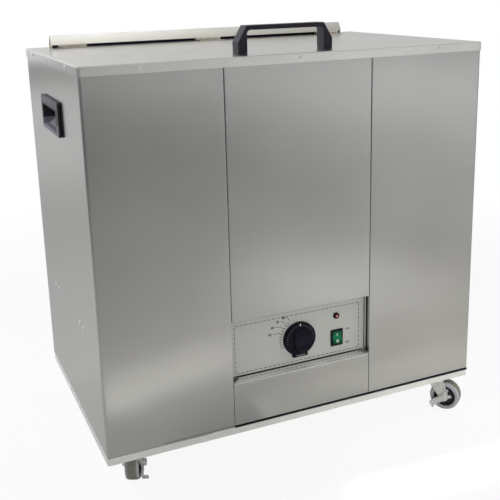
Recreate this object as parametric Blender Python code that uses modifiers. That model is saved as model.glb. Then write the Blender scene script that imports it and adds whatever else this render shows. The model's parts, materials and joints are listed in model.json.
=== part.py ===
"""Mobile hot pack heating unit: a stainless water tank in a cabinet on four swivel casters.

Metres, +Z up, origin on the floor under the middle of the cabinet, front towards -Y.
"""
import math

import bmesh
import bpy
from mathutils import Matrix, Vector

# Clearances
GAP = 0.0003                 # between pieces that touch
SEAM = 0.0005                # open joint between neighbouring cabinet sheets
HAIR = 1e-6                  # distance at which doubled points are one point

# Sheet metal
SHEET = 0.0012               # cabinet and tank sheet
PAN_SHEET = 0.0015           # base sheet
BEND = 0.0018                # outer radius of a fold
SEAM_BEND = 0.0014           # outer radius of the folds along the front seams
CORNER = 0.0040              # outer radius of the cabinet's upright corners
CORNER_STEPS = 3             # facets round a fold or a corner

# Cabinet
BODY_WIDTH = 0.740
BODY_DEPTH = 0.467
PAN_SLOT = 0.0040            # dark slot between the base sheet and the cabinet sheets
LID_TOP = 0.734              # top of the closed lid above the floor
LID_FLANGE = 0.0155          # height of the lid's turned-down edge
LID_COVER = 0.0030           # how far that edge hangs down outside the cabinet sheets
TOP_LIP = 0.015              # turned-in upper edge of the cabinet sheets
BACK_RETURN = 0.030          # how far the side sheets reach round the back
SEAM_X = 0.138               # upright seams of the front, each side of the middle
FRONT_RETURN = 0.012         # turned-in upright edges of the middle sheets

# Control recess
RECESS_RISE = 0.082          # ledge of the lower front sheet above its lower edge
RECESS_HEIGHT = 0.113        # ledge to the lower edge of the upper front sheet
RECESS_DEPTH = 0.020
PLATE_OVERLAP = 0.009        # control plate behind the sheets round it
PLATE = 0.0015
BOX_DEPTH = 0.080
BOX_MARGIN = 0.0025          # control box inside the recess, above and below
BOX_FLANGE = 0.010
BOX_SIDE_MARGIN = 0.003      # control box inside the upright seams

# Base
PAN_FLANGE = 0.0131
PAN_INSET = 0.0005           # base sheet behind the cabinet's faces
FRAME_HEIGHT = 0.022

# Tank
TANK_RISE = 0.019            # underside of the tank's floor above the recess
TANK_SIDE_GAP = 0.0535       # tank to the cabinet's side faces
TANK_BACK_GAP = 0.0332       # tank to the lid's back edge
TANK_CORNER = 0.012
TANK_FLOOR_BEND = 0.008
RIM_MARGIN = 0.0045          # tank rim inside the cabinet's faces
RIM_BACK_GAP = 0.0072        # tank rim to the lid's back edge
WOOL = 0.020                 # insulation round the tank
WOOL_FRONT_GAP = 0.0032      # insulation behind the control recess
WOOL_TOP_GAP = 0.018         # insulation below the rim
GASKET_WIDTH = 0.012
GASKET_HEIGHT = 0.004
GASKET_MARGIN = 0.010        # gasket outside the tank's mouth

# Tank supports
SUPPORT_LENGTH = 0.280
SUPPORT_LAP = 0.026          # support's shelf under the tank
SUPPORT_DROP = 0.038
SUPPORT_SHEET = 0.002

# Inside the tank
ELEMENT_R = 0.0042
ELEMENT_LIFT = 0.024         # element's middle above the tank's floor
ELEMENT_BEND = 0.0144
ELEMENT_SIDE_GAP = 0.0545    # element to the tank's side walls
ELEMENT_END_GAP = 0.040      # element to the tank's front and back walls
ELEMENT_RETURN = 0.070       # room inside the element's last leg
TERMINAL_X = 0.032
TERMINAL_DROP = 0.014        # element ends below the tank's floor
COLLAR_R = 0.011
COLLAR_HEIGHT = 0.005
GUARD_HEIGHT = 0.045         # guard's top above the tank's floor
GUARD_SIDE_GAP = 0.014
GUARD_END_GAP = 0.016
SLOT_LENGTH = 0.050
SLOT_WIDTH = 0.011
SLOT_COLUMNS = 7
SLOT_ROWS = 5
DIVIDER_TOP_GAP = 0.069      # divider below the tank's rim
DIVIDER_SPARE = 0.013        # room left over when the tank is shared into four
DIVIDER_R = 0.0025
DIVIDER_BEND = 0.022
DIVIDER_GAP = 0.008          # divider to the tank's front and back walls
BAR_R = 0.0016
BAR_COUNT = 6
DRAIN_SIDE_GAP = 0.1165      # drain to the tank's side wall
DRAIN_BACK_GAP = 0.078       # drain to the tank's back wall
DRAIN_R = 0.010
DRAIN_WALL = 0.002
DRAIN_FLANGE_R = 0.018
DRAIN_FLANGE = 0.003
DRAIN_DROP = 0.0286          # lower end of the drain below the base sheet's top
DRAIN_CAP_R = 0.014
DRAIN_CAP = 0.018

# Lid and hinge
HINGE_INSET = 0.0395         # hinge axis inside the cabinet's back
BARREL_R = 0.0030
BARREL_LIFT = 0.0005         # hinge barrel above the lid's top
PIN_R = 0.0013
PIN_HEAD_R = 0.0022
PIN_HEAD = 0.0008
LEAF = 0.0012
LEAF_WIDTH = 0.054
LEAF_REACH = 0.026
FIXED_LEAF_REACH = 0.020
KNUCKLES = 5
KNUCKLE_GAP = 0.0004
HINGE_INDENT = 0.084         # outer hinges' middles inside the cabinet's sides
LID_SLOT = 0.0016            # open joint between the lid and the rear deck
LINER_MARGIN = 0.009         # lid liner inside the lid's edges
RAIL_END_GAP = 0.044         # rail's ends inside the cabinet's sides
RAIL_FRONT_GAP = 0.002       # rail behind the hinge barrel
RAIL_LIFT = 0.0055           # rail's lower front edge above the deck
RAIL_TOP = 0.0275
RAIL_LEAN = 0.0125           # how far the rail's front leans back
RAIL_FOOT = 0.013
RAIL_BEND = 0.004

# Lid handle
HANDLE_LENGTH = 0.178
HANDLE_TOP_LENGTH = 0.146
HANDLE_DEPTH = 0.026
HANDLE_HEIGHT = 0.045
HANDLE_SHOULDER = 0.018
HANDLE_LEG = 0.0165
HANDLE_BAR = 0.0075
HANDLE_SETBACK = 0.0525      # handle behind the lid's front
HANDLE_EDGE = 0.0012

# Side grips
GRIP_LENGTH = 0.152
GRIP_HEIGHT = 0.060
GRIP_DROP = 0.102            # grip's middle below the lid's top
GRIP_PROUD = 0.005
GRIP_CORNER = 0.006
GRIP_EDGE = 0.0012
POCKET_LENGTH = 0.118
POCKET_HEIGHT = 0.036
POCKET_DROP = 0.0045         # pocket's middle below the grip's middle
POCKET_SHIFT = 0.006         # pocket's middle behind the grip's middle
POCKET_DEPTH = 0.028
POCKET_WALL = 0.002
POCKET_FLOOR = 0.46          # share of the pocket's height that is full depth

# Controls
KNOB_RISE = 0.0505           # dial's middle above the ledge
KNOB_R = 0.0318
KNOB_RIM = 0.0055            # straight edge of the dial
KNOB_FACE = 0.0068           # dial's flat face
KNOB_FACE_R = 0.0305
KNOB_LIFT = 0.001            # dial off the control plate
GRIP_BAR_WIDTH = 0.030       # raised bar across the dial's face, foot and top
GRIP_BAR_TOP = 0.024
GRIP_BAR_HEIGHT = 0.0092
GRIP_BAR_LENGTH = 0.046
GRIP_BAR_SLOPE = 0.006       # bar's ends lean in
TAB_WIDTH = 0.030
TAB_REACH = 0.0342
TAB_HEIGHT = 0.0075
SHAFT_R = 0.003
SHAFT_IN_KNOB = 0.0072
SHAFT_IN_BODY = 0.014
THERMOSTAT = 0.044
THERMOSTAT_DEPTH = 0.032
CAPILLARY_R = 0.0012
BULB_R = 0.004
BULB_LENGTH = 0.090
BULB_X = 0.060
BULB_BEHIND = 0.025          # bulb behind the control box
BULB_LIFT = 0.009            # bulb's middle above the tank's floor
LAMP_X = 0.0777
LAMP_RISE = 0.0793
LAMP_R = 0.0062
LAMP_BARREL_R = 0.0042
LAMP_PROUD = 0.003
LAMP_DEPTH = 0.018
LENS_R = 0.0050
LENS_DOME = 0.0022
SWITCH_X = 0.0790
SWITCH_RISE = 0.0354
BEZEL_WIDTH = 0.0255
BEZEL_HEIGHT = 0.0325
BEZEL_PROUD = 0.0022
SWITCH_WALL = 0.0028
SWITCH_DEPTH = 0.022
ROCKER_GAP = 0.0005
ROCKER_PROUD = 0.0026
ROCKER_DIP = 0.0012          # hollow in the middle of the rocker's face
ROCKER_BACK = 0.004
ROCKER_PIVOT = 0.002         # rocker's axis behind the control plate's face
ROCKER_TILT = math.radians(8.0)

# Back
VENT_LENGTH = 0.060
VENT_HEIGHT = 0.005
VENT_PITCH = 0.014
VENT_ROWS = 6
VENT_INSET = 0.180           # vent columns' middles inside the cabinet's sides
VENT_RISE = 0.074
GLAND_INSET = 0.120
GLAND_RISE = 0.044
GLAND_R = 0.008
GLAND_NUT_R = 0.012
GLAND_BORE = 0.0045
GLAND_OUT = 0.014
GLAND_IN = 0.012

# Casters
CASTER_INSET_X = 0.052       # swivel axis inside the cabinet's sides
CASTER_INSET_Y = 0.0335      # swivel axis inside the cabinet's front and back
FRONT_CASTER_SHIFT = -0.004  # the photo's front pair stands a little to the left
CASTER_PLATE = 0.054
CASTER_PLATE_THICK = 0.003
WHEEL_R = 0.030
WHEEL_HALF = 0.0122
WHEEL_SIDES = 24
HUB_R = 0.0095
HUB_HALF = 0.0128
WEB_HALF = 0.0080
RIM_R = 0.0205
TYRE_ROUND = 0.0035
AXLE_R = 0.004
TRAIL = 0.025
WHEEL_CLEAR = 0.0042567      # wheel below the fork's crown
RACE_HEIGHT = 0.0107
FORK_SHEET = 0.0025
FORK_SIDE_GAP = 0.0006       # fork leg to wheel hub
CROWN_R = 0.019
LEG_BACK = -0.0125
LEG_FRONT = 0.022
LEG_EYE_R = 0.009
RACE_R = 0.0185
KINGPIN_R = 0.006
KINGPIN_HEAD_R = 0.010
KINGPIN_HEAD = 0.0036
NUT_R = 0.0072
NUT_HEIGHT = 0.0045
BRAKE_SHEET = 0.002
BRAKE_EYE_R = 0.0085
BRAKE_REACH = 0.028
BRAKE_WIDTH = 0.0125
BRAKE_TAB = 0.010
BRAKE_ANGLE = math.radians(215.0)
PRONGS = ((math.radians(16.0), 0.0155, 0.0028), (math.radians(72.0), 0.0190, 0.0038))

# Where each caster points: the way from its swivel axis to its wheel, and whether it has a brake
CASTERS = {
    "front_left": (-1, -1, math.radians(66.0), True),
    "front_right": (1, -1, math.radians(-50.0), True),
    "rear_left": (-1, 1, math.radians(32.0), False),
    "rear_right": (1, 1, math.radians(36.0), False),
}

# Levels that several pieces share
HALF_WIDTH = BODY_WIDTH / 2
FRONT = -BODY_DEPTH / 2
BACK = BODY_DEPTH / 2
WHEEL_Z = WHEEL_R * math.cos(math.pi / WHEEL_SIDES)
CROWN_TOP = WHEEL_Z + WHEEL_R + WHEEL_CLEAR + FORK_SHEET
CASTER_TOP = CROWN_TOP + RACE_HEIGHT + CASTER_PLATE_THICK
PAN_TOP = CASTER_TOP + GAP + PAN_SHEET
PANEL_BOTTOM = PAN_TOP + PAN_SLOT
RECESS_LOW = PANEL_BOTTOM + RECESS_RISE
RECESS_HIGH = RECESS_LOW + RECESS_HEIGHT
KNOB_Z = RECESS_LOW + KNOB_RISE
LAMP_Z = RECESS_LOW + LAMP_RISE
SWITCH_Z = RECESS_LOW + SWITCH_RISE
VENT_Z = PANEL_BOTTOM + VENT_RISE
GLAND_Z = PANEL_BOTTOM + GLAND_RISE
VENT_X = HALF_WIDTH - VENT_INSET
GLAND_X = HALF_WIDTH - GLAND_INSET
LID_LOW = LID_TOP - LID_FLANGE
LID_LAP = SHEET + GAP
PANEL_TOP = LID_LOW + LID_COVER
RIM_LOW = PANEL_TOP + GAP
RIM_HIGH = RIM_LOW + SHEET
GASKET_LOW = RIM_HIGH + GAP
LINER_LOW = GASKET_LOW + GASKET_HEIGHT + GAP
HINGE_Y = BACK - HINGE_INSET
HINGE_Z = LID_TOP + BARREL_LIFT + BARREL_R
HINGE_SPACING = HALF_WIDTH - HINGE_INDENT
LID_BACK = HINGE_Y - LID_SLOT / 2
DECK_FRONT = HINGE_Y + LID_SLOT / 2
GRIP_MIDDLE = LID_TOP - GRIP_DROP
TANK_HALF = HALF_WIDTH - TANK_SIDE_GAP
TANK_FRONT = FRONT + RECESS_DEPTH + WOOL_FRONT_GAP + WOOL + GAP
TANK_BACK = LID_BACK - TANK_BACK_GAP
TANK_FLOOR = RECESS_HIGH + TANK_RISE
TANK_INNER_FLOOR = TANK_FLOOR + SHEET
GUARD_TOP = TANK_INNER_FLOOR + GUARD_HEIGHT
ELEMENT_HALF = TANK_HALF - ELEMENT_SIDE_GAP
ELEMENT_FRONT = TANK_FRONT + ELEMENT_END_GAP
ELEMENT_BACK = TANK_BACK - ELEMENT_END_GAP
DIVIDER_PITCH = (2 * TANK_HALF - DIVIDER_SPARE) / 4
DRAIN_X = TANK_HALF - DRAIN_SIDE_GAP
DRAIN_Y = TANK_BACK - DRAIN_BACK_GAP
DRAIN_END = PAN_TOP - DRAIN_DROP
PLATE_FRONT = FRONT + RECESS_DEPTH
PLATE_BACK = PLATE_FRONT + PLATE
BOX_FRONT = PLATE_BACK + GAP
BULB_Y = BOX_FRONT + BOX_DEPTH + BULB_BEHIND
LEG_INNER = HUB_HALF + FORK_SIDE_GAP
LEG_OUTER = LEG_INNER + FORK_SHEET

# Finishes: colour, roughness, metallic
STEEL = ((0.62, 0.62, 0.60), 0.32, 1.0)
BRIGHT_STEEL = ((0.72, 0.71, 0.68), 0.22, 1.0)
ZINC = ((0.70, 0.71, 0.70), 0.28, 1.0)
BRASS = ((0.60, 0.48, 0.25), 0.35, 1.0)
BLACK = ((0.018, 0.018, 0.022), 0.45, 0.0)
GREY_LABEL = ((0.60, 0.62, 0.57), 0.55, 0.0)
RUBBER = ((0.22, 0.22, 0.23), 0.65, 0.0)
WOOL_FINISH = ((0.72, 0.66, 0.45), 0.95, 0.0)
SILICONE = ((0.55, 0.55, 0.53), 0.7, 0.0)
GREEN = ((0.0, 0.24, 0.09), 0.25, 0.0)
RED_LENS = ((0.55, 0.10, 0.11), 0.2, 0.0)
PHENOLIC = ((0.08, 0.07, 0.06), 0.6, 0.0)

# Axis changes: a shape drawn flat in X and Y is stood up so that its thickness runs the named way
DEPTH_TO_Y = Matrix(((1, 0, 0, 0), (0, 0, 1, 0), (0, -1, 0, 0), (0, 0, 0, 1)))
DEPTH_TO_FRONT = Matrix(((1, 0, 0, 0), (0, 0, -1, 0), (0, 1, 0, 0), (0, 0, 0, 1)))
DEPTH_TO_X = Matrix(((0, 0, 1, 0), (1, 0, 0, 0), (0, 1, 0, 0), (0, 0, 0, 1)))


def clear_scene():
    for obj in list(bpy.data.objects):
        bpy.data.objects.remove(obj, do_unlink=True)
    for collection in list(bpy.data.collections):
        bpy.data.collections.remove(collection)


def new_collection(name):
    collection = bpy.data.collections.new(name)
    bpy.context.scene.collection.children.link(collection)
    return collection


clear_scene()
PARTS = new_collection("hot_pack_heating_unit")
CUTTERS = new_collection("cutters")


# Small tools

def add_object(name, data, place=Matrix.Identity(4)):
    obj = bpy.data.objects.new(name, data)
    obj.matrix_world = place
    PARTS.objects.link(obj)
    return obj


def axis_empty(name, place):
    """An empty that stands where a moving group turns."""
    empty = bpy.data.objects.new(name, None)
    PARTS.objects.link(empty)
    empty.matrix_world = place
    return empty


def carry(empty, obj):
    """Hangs a piece on an axis without moving it."""
    obj.parent = empty
    obj.matrix_parent_inverse = empty.matrix_world.inverted()
    return obj


def finish(obj, look):
    """Gives a part its own material."""
    colour, roughness, metallic = look
    material = bpy.data.materials.new(obj.name)
    material.use_nodes = True
    shader = material.node_tree.nodes["Principled BSDF"]
    shader.inputs["Base Color"].default_value = (*colour, 1.0)
    shader.inputs["Roughness"].default_value = roughness
    shader.inputs["Metallic"].default_value = metallic
    material.diffuse_color = (*colour, 1.0)
    obj.data.materials.clear()
    obj.data.materials.append(material)
    return obj


def as_tool(obj):
    """Turns an object into a guide for a cut or a join, which isn't a part itself."""
    PARTS.objects.unlink(obj)
    CUTTERS.objects.link(obj)
    obj.hide_render = True
    obj.display_type = "WIRE"
    return obj


def boolean(obj, other, operation):
    modifier = obj.modifiers.new(operation.lower(), "BOOLEAN")
    modifier.operation = operation
    modifier.solver = "EXACT"
    modifier.object = as_tool(other)
    return obj


def cut(obj, other):
    return boolean(obj, other, "DIFFERENCE")


def join(obj, other):
    return boolean(obj, other, "UNION")


def mesh_object(name, bm, place=Matrix.Identity(4)):
    mesh = bpy.data.meshes.new(name)
    bm.to_mesh(mesh)
    bm.free()
    return add_object(name, mesh, place)


def blocks(name, spans, place=Matrix.Identity(4)):
    """Boxes given by their low and high corners, as one mesh."""
    bm = bmesh.new()
    for low, high in spans:
        size = Vector(high) - Vector(low)
        middle = (Vector(high) + Vector(low)) / 2
        matrix = Matrix.Translation(middle) @ Matrix.Diagonal((*size, 1.0))
        bmesh.ops.create_cube(bm, size=1.0, matrix=matrix)
    return mesh_object(name, bm, place)


def rounded(obj, width, segments=2):
    """Rounds an object's sharp edges."""
    modifier = obj.modifiers.new("rounded", "BEVEL")
    modifier.width = width
    modifier.segments = segments
    modifier.limit_method = "ANGLE"
    modifier.angle_limit = math.radians(40.0)
    return obj


def cylinders(name, spans, radius, sides, place=Matrix.Identity(4)):
    """Upright cylinders given by centre, low and high, as one mesh."""
    bm = bmesh.new()
    for (x, y), low, high in spans:
        matrix = Matrix.Translation((x, y, (low + high) / 2))
        bmesh.ops.create_cone(bm, cap_ends=True, segments=sides, radius1=radius, radius2=radius,
                              depth=high - low, matrix=matrix)
    return mesh_object(name, bm, place)


def turned(name, profile, sides, place=Matrix.Identity(4), ring=False, phase=0.0):
    """Turns a profile of (radius, height) about Z; a ring's profile closes on itself."""
    bm = bmesh.new()
    points = [bm.verts.new((r * math.cos(phase), r * math.sin(phase), z)) for r, z in profile]
    for start, end in zip(points, points[1:]):
        bm.edges.new((start, end))
    if ring:
        bm.edges.new((points[-1], points[0]))
    obj = mesh_object(name, bm, place)
    screw = obj.modifiers.new("turned", "SCREW")
    screw.steps = sides
    screw.render_steps = sides
    screw.use_merge_vertices = True
    screw.merge_threshold = HAIR
    screw.use_smooth_shade = True
    return obj


def to_mesh(obj):
    """Makes a mesh of a curve object, with its caps welded on."""
    bpy.context.view_layer.update()
    evaluated = obj.evaluated_get(bpy.context.evaluated_depsgraph_get())
    mesh = bpy.data.meshes.new_from_object(evaluated)
    bm = bmesh.new()
    bm.from_mesh(mesh)
    bmesh.ops.remove_doubles(bm, verts=bm.verts, dist=HAIR)
    bmesh.ops.recalc_face_normals(bm, faces=bm.faces)
    bm.to_mesh(mesh)
    bm.free()
    name, place = obj.name, obj.matrix_world.copy()
    bpy.data.objects.remove(obj, do_unlink=True)
    return add_object(name, mesh, place)


def flat_outline(name, outlines, thickness, place=Matrix.Identity(4)):
    """A flat plate of closed outlines; an outline inside another is a hole. Middle plane at Z 0."""
    curve = bpy.data.curves.new(name, "CURVE")
    curve.dimensions = "2D"
    curve.fill_mode = "BOTH"
    curve.extrude = thickness / 2
    for outline in outlines:
        spline = curve.splines.new("POLY")
        spline.points.add(len(outline) - 1)
        for point, (x, y) in zip(spline.points, outline):
            point.co = (x, y, 0.0, 1.0)
        spline.use_cyclic_u = True
    return to_mesh(add_object(name, curve, place))


def tube(name, points, radius, cyclic=False, widths=None, place=Matrix.Identity(4)):
    """A round tube along points; widths scale the radius point by point."""
    curve = bpy.data.curves.new(name, "CURVE")
    curve.dimensions = "3D"
    curve.bevel_depth = radius
    curve.bevel_resolution = 2
    curve.use_fill_caps = not cyclic
    spline = curve.splines.new("POLY")
    spline.points.add(len(points) - 1)
    for index, position in enumerate(points):
        spline.points[index].co = (*position, 1.0)
        spline.points[index].radius = widths[index] if widths else 1.0
    spline.use_cyclic_u = cyclic
    return to_mesh(add_object(name, curve, place))


# Outlines

def arc(centre, radius, start, end, steps):
    """Points on an arc, ends included, angles in radians."""
    angles = [start + (end - start) * i / steps for i in range(steps + 1)]
    return [(centre[0] + radius * math.cos(a), centre[1] + radius * math.sin(a)) for a in angles]


def rectangle(low, high):
    return [(low[0], low[1]), (high[0], low[1]), (high[0], high[1]), (low[0], high[1])]


def inset_corners(corners, inset, closed):
    """Moves a run of corners to its left by a distance, with mitred corners."""
    count = len(corners)
    moved = []
    for index, corner in enumerate(corners):
        here = Vector(corner)
        ways = []
        if closed or index > 0:
            ways.append((here - Vector(corners[index - 1])).normalized())
        if closed or index < count - 1:
            ways.append((Vector(corners[(index + 1) % count]) - here).normalized())
        lefts = [Vector((-way.y, way.x)) for way in ways]
        middle = sum(lefts, Vector((0.0, 0.0))).normalized()
        moved.append(here + middle * (inset / middle.dot(lefts[0])))
    return moved


def round_corners(corners, radii, closed, inset=0.0, steps=CORNER_STEPS):
    """One list of points for each corner: a left turn becomes an arc that shrinks with the inset."""
    moved = inset_corners(corners, inset, closed)
    count = len(moved)
    groups = []
    for index, corner in enumerate(moved):
        at_end = not closed and index in (0, count - 1)
        if at_end or radii[index] == 0.0:
            groups.append([corner.copy()])
            continue
        radius = max(radii[index] - inset, 0.0)
        way_in = (corner - moved[index - 1]).normalized()
        way_out = (moved[(index + 1) % count] - corner).normalized()
        turn = way_in.angle(way_out)
        start = corner - way_in * (radius * math.tan(turn / 2))
        centre = start + Vector((-way_in.y, way_in.x)) * radius
        first = math.atan2(start.y - centre.y, start.x - centre.x) if radius else 0.0
        groups.append([Vector(p) for p in arc(centre, radius, first, first + turn, steps)])
    return groups


def round_outline(corners, radius, steps=CORNER_STEPS):
    groups = round_corners(corners, [radius] * len(corners), True, steps=steps)
    return [tuple(point) for group in groups for point in group]


def fold_up(level, radius, steps=CORNER_STEPS):
    """Inset and height of points round a fold from an upright sheet to a flat one above it."""
    turns = [math.pi / 2 * i / steps for i in range(steps + 1)]
    return [(radius * (1 - math.cos(t)), level - radius + radius * math.sin(t)) for t in turns]


def fold_down(level, radius, steps=CORNER_STEPS):
    """The same for a flat sheet below an upright one, from the flat sheet up."""
    return [(inset, 2 * level - height) for inset, height in reversed(fold_up(level, radius, steps))]


def sheet_shell(name, corners, radii, stations, closed=True, lips=None, low_cap=False, high_cap=False,
                thickness=SHEET, place=Matrix.Identity(4)):
    """Folded sheet: a plan outline repeated at stations of (inset, height), then thickened inwards.

    The outline runs anticlockwise round the piece. lips names the first and last corner between
    which every station is used; outside them only the upright wall with no inset is made.
    """
    bm = bmesh.new()
    rows = []
    for inset, height in stations:
        groups = round_corners(corners, radii, closed, inset)
        rows.append([bm.verts.new((p.x, p.y, height)) for group in groups for p in group])
    sizes = [len(group) for group in round_corners(corners, radii, closed)]
    columns = len(rows[0])
    first, last = 0, columns
    if lips:
        first = sum(sizes[:lips[0] + 1]) - 1
        last = sum(sizes[:lips[1]])
    for (low, low_row), (high, high_row) in zip(zip(stations, rows), zip(stations[1:], rows[1:])):
        upright = low[0] == 0.0 and high[0] == 0.0
        for column in range(columns if closed else columns - 1):
            if not upright and not first <= column < last:
                continue
            after = (column + 1) % columns
            bm.faces.new((low_row[column], low_row[after], high_row[after], high_row[column]))
    if low_cap:
        bm.faces.new(reversed(rows[0]))
    if high_cap:
        bm.faces.new(rows[-1])
    bmesh.ops.delete(bm, geom=[v for v in bm.verts if not v.link_faces], context="VERTS")
    bmesh.ops.remove_doubles(bm, verts=bm.verts, dist=HAIR)
    obj = mesh_object(name, bm, place)
    solid = obj.modifiers.new("sheet", "SOLIDIFY")
    solid.thickness = thickness
    solid.offset = -1.0
    solid.use_even_offset = True
    solid.use_quality_normals = True
    return obj


def at(x, y, z, turn=Matrix.Identity(4)):
    return Matrix.Translation((x, y, z)) @ turn


# Cabinet

def side_panel(side):
    """A side sheet that reaches round the back corner and round the front to the seam."""
    seam = SEAM_X + SEAM / 2
    plan = [
        (HALF_WIDTH - BACK_RETURN, BACK),
        (HALF_WIDTH, BACK),
        (HALF_WIDTH, FRONT),
        (seam, FRONT),
        (seam, FRONT + RECESS_DEPTH - GAP),
    ]
    radii = [0.0, CORNER, CORNER, SEAM_BEND, 0.0]
    name = "left_side_panel"
    corners = [(-x, y) for x, y in plan]
    if side > 0:
        name = "right_side_panel"
        corners = plan[::-1]
        radii = radii[::-1]
    stations = [(0.0, PANEL_BOTTOM)] + fold_up(PANEL_TOP, BEND) + [(TOP_LIP, PANEL_TOP)]
    panel = sheet_shell(name, corners, radii, stations, closed=False, lips=(1, 3))
    room = POCKET_WALL + GAP
    reach = POCKET_LENGTH / 2 + room
    low = (side * HALF_WIDTH - GRIP_HEIGHT / 3, POCKET_SHIFT - reach, pocket_low() - room)
    high = (side * HALF_WIDTH + GRIP_HEIGHT / 3, POCKET_SHIFT + reach, pocket_high() + room)
    cut(panel, blocks(name + "_hole", [(low, high)]))
    return finish(panel, STEEL)


def pocket_low():
    return GRIP_MIDDLE - POCKET_DROP - POCKET_HEIGHT / 2


def pocket_high():
    return GRIP_MIDDLE - POCKET_DROP + POCKET_HEIGHT / 2


def front_panels():
    half = SEAM_X - SEAM / 2
    corners = [(-half, FRONT + FRONT_RETURN), (-half, FRONT), (half, FRONT), (half, FRONT + FRONT_RETURN)]
    radii = [0.0, SEAM_BEND, SEAM_BEND, 0.0]
    deep = RECESS_DEPTH - GAP
    upper = [(deep, RECESS_HIGH)] + fold_down(RECESS_HIGH, BEND) + fold_up(PANEL_TOP, BEND)
    upper.append((TOP_LIP, PANEL_TOP))
    lower = [(0.0, PANEL_BOTTOM)] + fold_up(RECESS_LOW, BEND) + [(deep, RECESS_LOW)]
    for name, stations in (("upper_front_panel", upper), ("lower_front_panel", lower)):
        finish(sheet_shell(name, corners, radii, stations, closed=False, lips=(1, 2)), STEEL)


def back_panel():
    """Flat back between the side sheets, with vent slots behind the control space."""
    half = HALF_WIDTH - TOP_LIP - 2 * SEAM
    outer = BACK - SHEET - GAP
    stations = [(0.0, PANEL_BOTTOM)] + fold_up(PANEL_TOP, BEND) + [(TOP_LIP, PANEL_TOP)]
    plan = [(half, outer), (-half, outer)]
    panel = sheet_shell("back_panel", plan, [0.0, 0.0], stations, closed=False)
    slots = []
    for x in (-VENT_X, VENT_X):
        for row in range(VENT_ROWS):
            z = VENT_Z + row * VENT_PITCH
            slots.append(((x - VENT_LENGTH / 2, outer - 0.01, z),
                          (x + VENT_LENGTH / 2, outer + 0.01, z + VENT_HEIGHT)))
    cut(panel, blocks("vent_slots", slots))
    hole = cylinders("gland_hole", [((0.0, 0.0), -0.02, 0.02)], GLAND_R + GAP, 16,
                     at(GLAND_X, outer, GLAND_Z, DEPTH_TO_Y))
    cut(panel, hole)
    finish(panel, STEEL)


def cable_gland():
    """Mains inlet gland: a collar outside, a nut inside, and a bore for the lead."""
    outer = BACK - SHEET - GAP
    inner = outer - SHEET
    out_end = GLAND_OUT
    in_face = inner - outer - GAP
    profile = [
        (GLAND_BORE, out_end),
        (GLAND_R, out_end),
        (GLAND_NUT_R, out_end * 0.6),
        (GLAND_NUT_R, GAP),
        (GLAND_R, GAP),
        (GLAND_R, in_face),
        (GLAND_NUT_R, in_face),
        (GLAND_NUT_R, in_face - GLAND_IN * 0.5),
        (GLAND_R, in_face - GLAND_IN * 0.5),
        (GLAND_R, in_face - GLAND_IN),
        (GLAND_BORE, in_face - GLAND_IN),
    ]
    gland = turned("cable_gland", profile, 16, at(GLAND_X, outer, GLAND_Z, DEPTH_TO_Y), ring=True)
    finish(gland, BLACK)


def base():
    """Base sheet with its edges turned down, and the upright frame the cabinet sheets stand round."""
    wide = HALF_WIDTH - PAN_INSET
    deep = BACK - PAN_INSET
    corners = rectangle((-wide, -deep), (wide, deep))
    stations = [(0.0, PAN_TOP - PAN_FLANGE)] + fold_up(PAN_TOP, BEND)
    pan = sheet_shell("base_pan", corners, [CORNER] * 4, stations, high_cap=True,
                      thickness=PAN_SHEET)
    span = ((DRAIN_X, DRAIN_Y), PAN_TOP - 0.01, PAN_TOP + 0.01)
    hole = cylinders("drain_hole", [span], DRAIN_R + GAP, 16)
    finish(cut(pan, hole), STEEL)

    inside = HALF_WIDTH - SHEET - GAP
    corners = rectangle((-inside, PLATE_FRONT + GAP), (inside, BACK - 2 * SHEET - 2 * GAP))
    low = PAN_TOP + GAP
    stations = [(0.0, low), (0.0, low + FRAME_HEIGHT)]
    finish(sheet_shell("base_frame", corners, [CORNER] * 4, stations), STEEL)


# Top

def rear_deck():
    """Fixed strip behind the lid that carries the hinges and the rail."""
    wide = HALF_WIDTH + LID_LAP
    corners = rectangle((-wide, DECK_FRONT), (wide, BACK + LID_LAP))
    stations = [(0.0, LID_LOW)] + fold_up(LID_TOP, BEND)
    radii = [SEAM_BEND, SEAM_BEND, CORNER + LID_LAP, CORNER + LID_LAP]
    deck = sheet_shell("rear_deck", corners, radii, stations, high_cap=True)
    finish(cut(deck, over_panels("deck_edge", DECK_FRONT)), STEEL)


def over_panels(name, y):
    """Room for the cabinet sheets' turned-in edges under a cross wall at y."""
    wide = HALF_WIDTH + GAP
    return blocks(name, [((-wide, y - CORNER, LID_LOW - CORNER), (wide, y + CORNER, PANEL_TOP + GAP))])


def hinge_rail():
    """Bent cover over the hinge leaves: leaning front, rounded ridge, slope to the back edge, flat foot."""
    front = HINGE_Y + BARREL_R + RAIL_FRONT_GAP
    foot = LID_TOP + GAP
    back = BACK - SHEET
    section = [
        (back - RAIL_FOOT, foot),
        (back, foot),
        (front + RAIL_LEAN, LID_TOP + RAIL_TOP),
        (front, LID_TOP + RAIL_LIFT),
    ]
    half = HALF_WIDTH - RAIL_END_GAP
    rail = sheet_shell("hinge_rail", section, [0.0, BEND, RAIL_BEND, 0.0],
                       [(0.0, -half), (0.0, half)], closed=False, place=DEPTH_TO_X)
    finish(rail, BRIGHT_STEEL)


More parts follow.
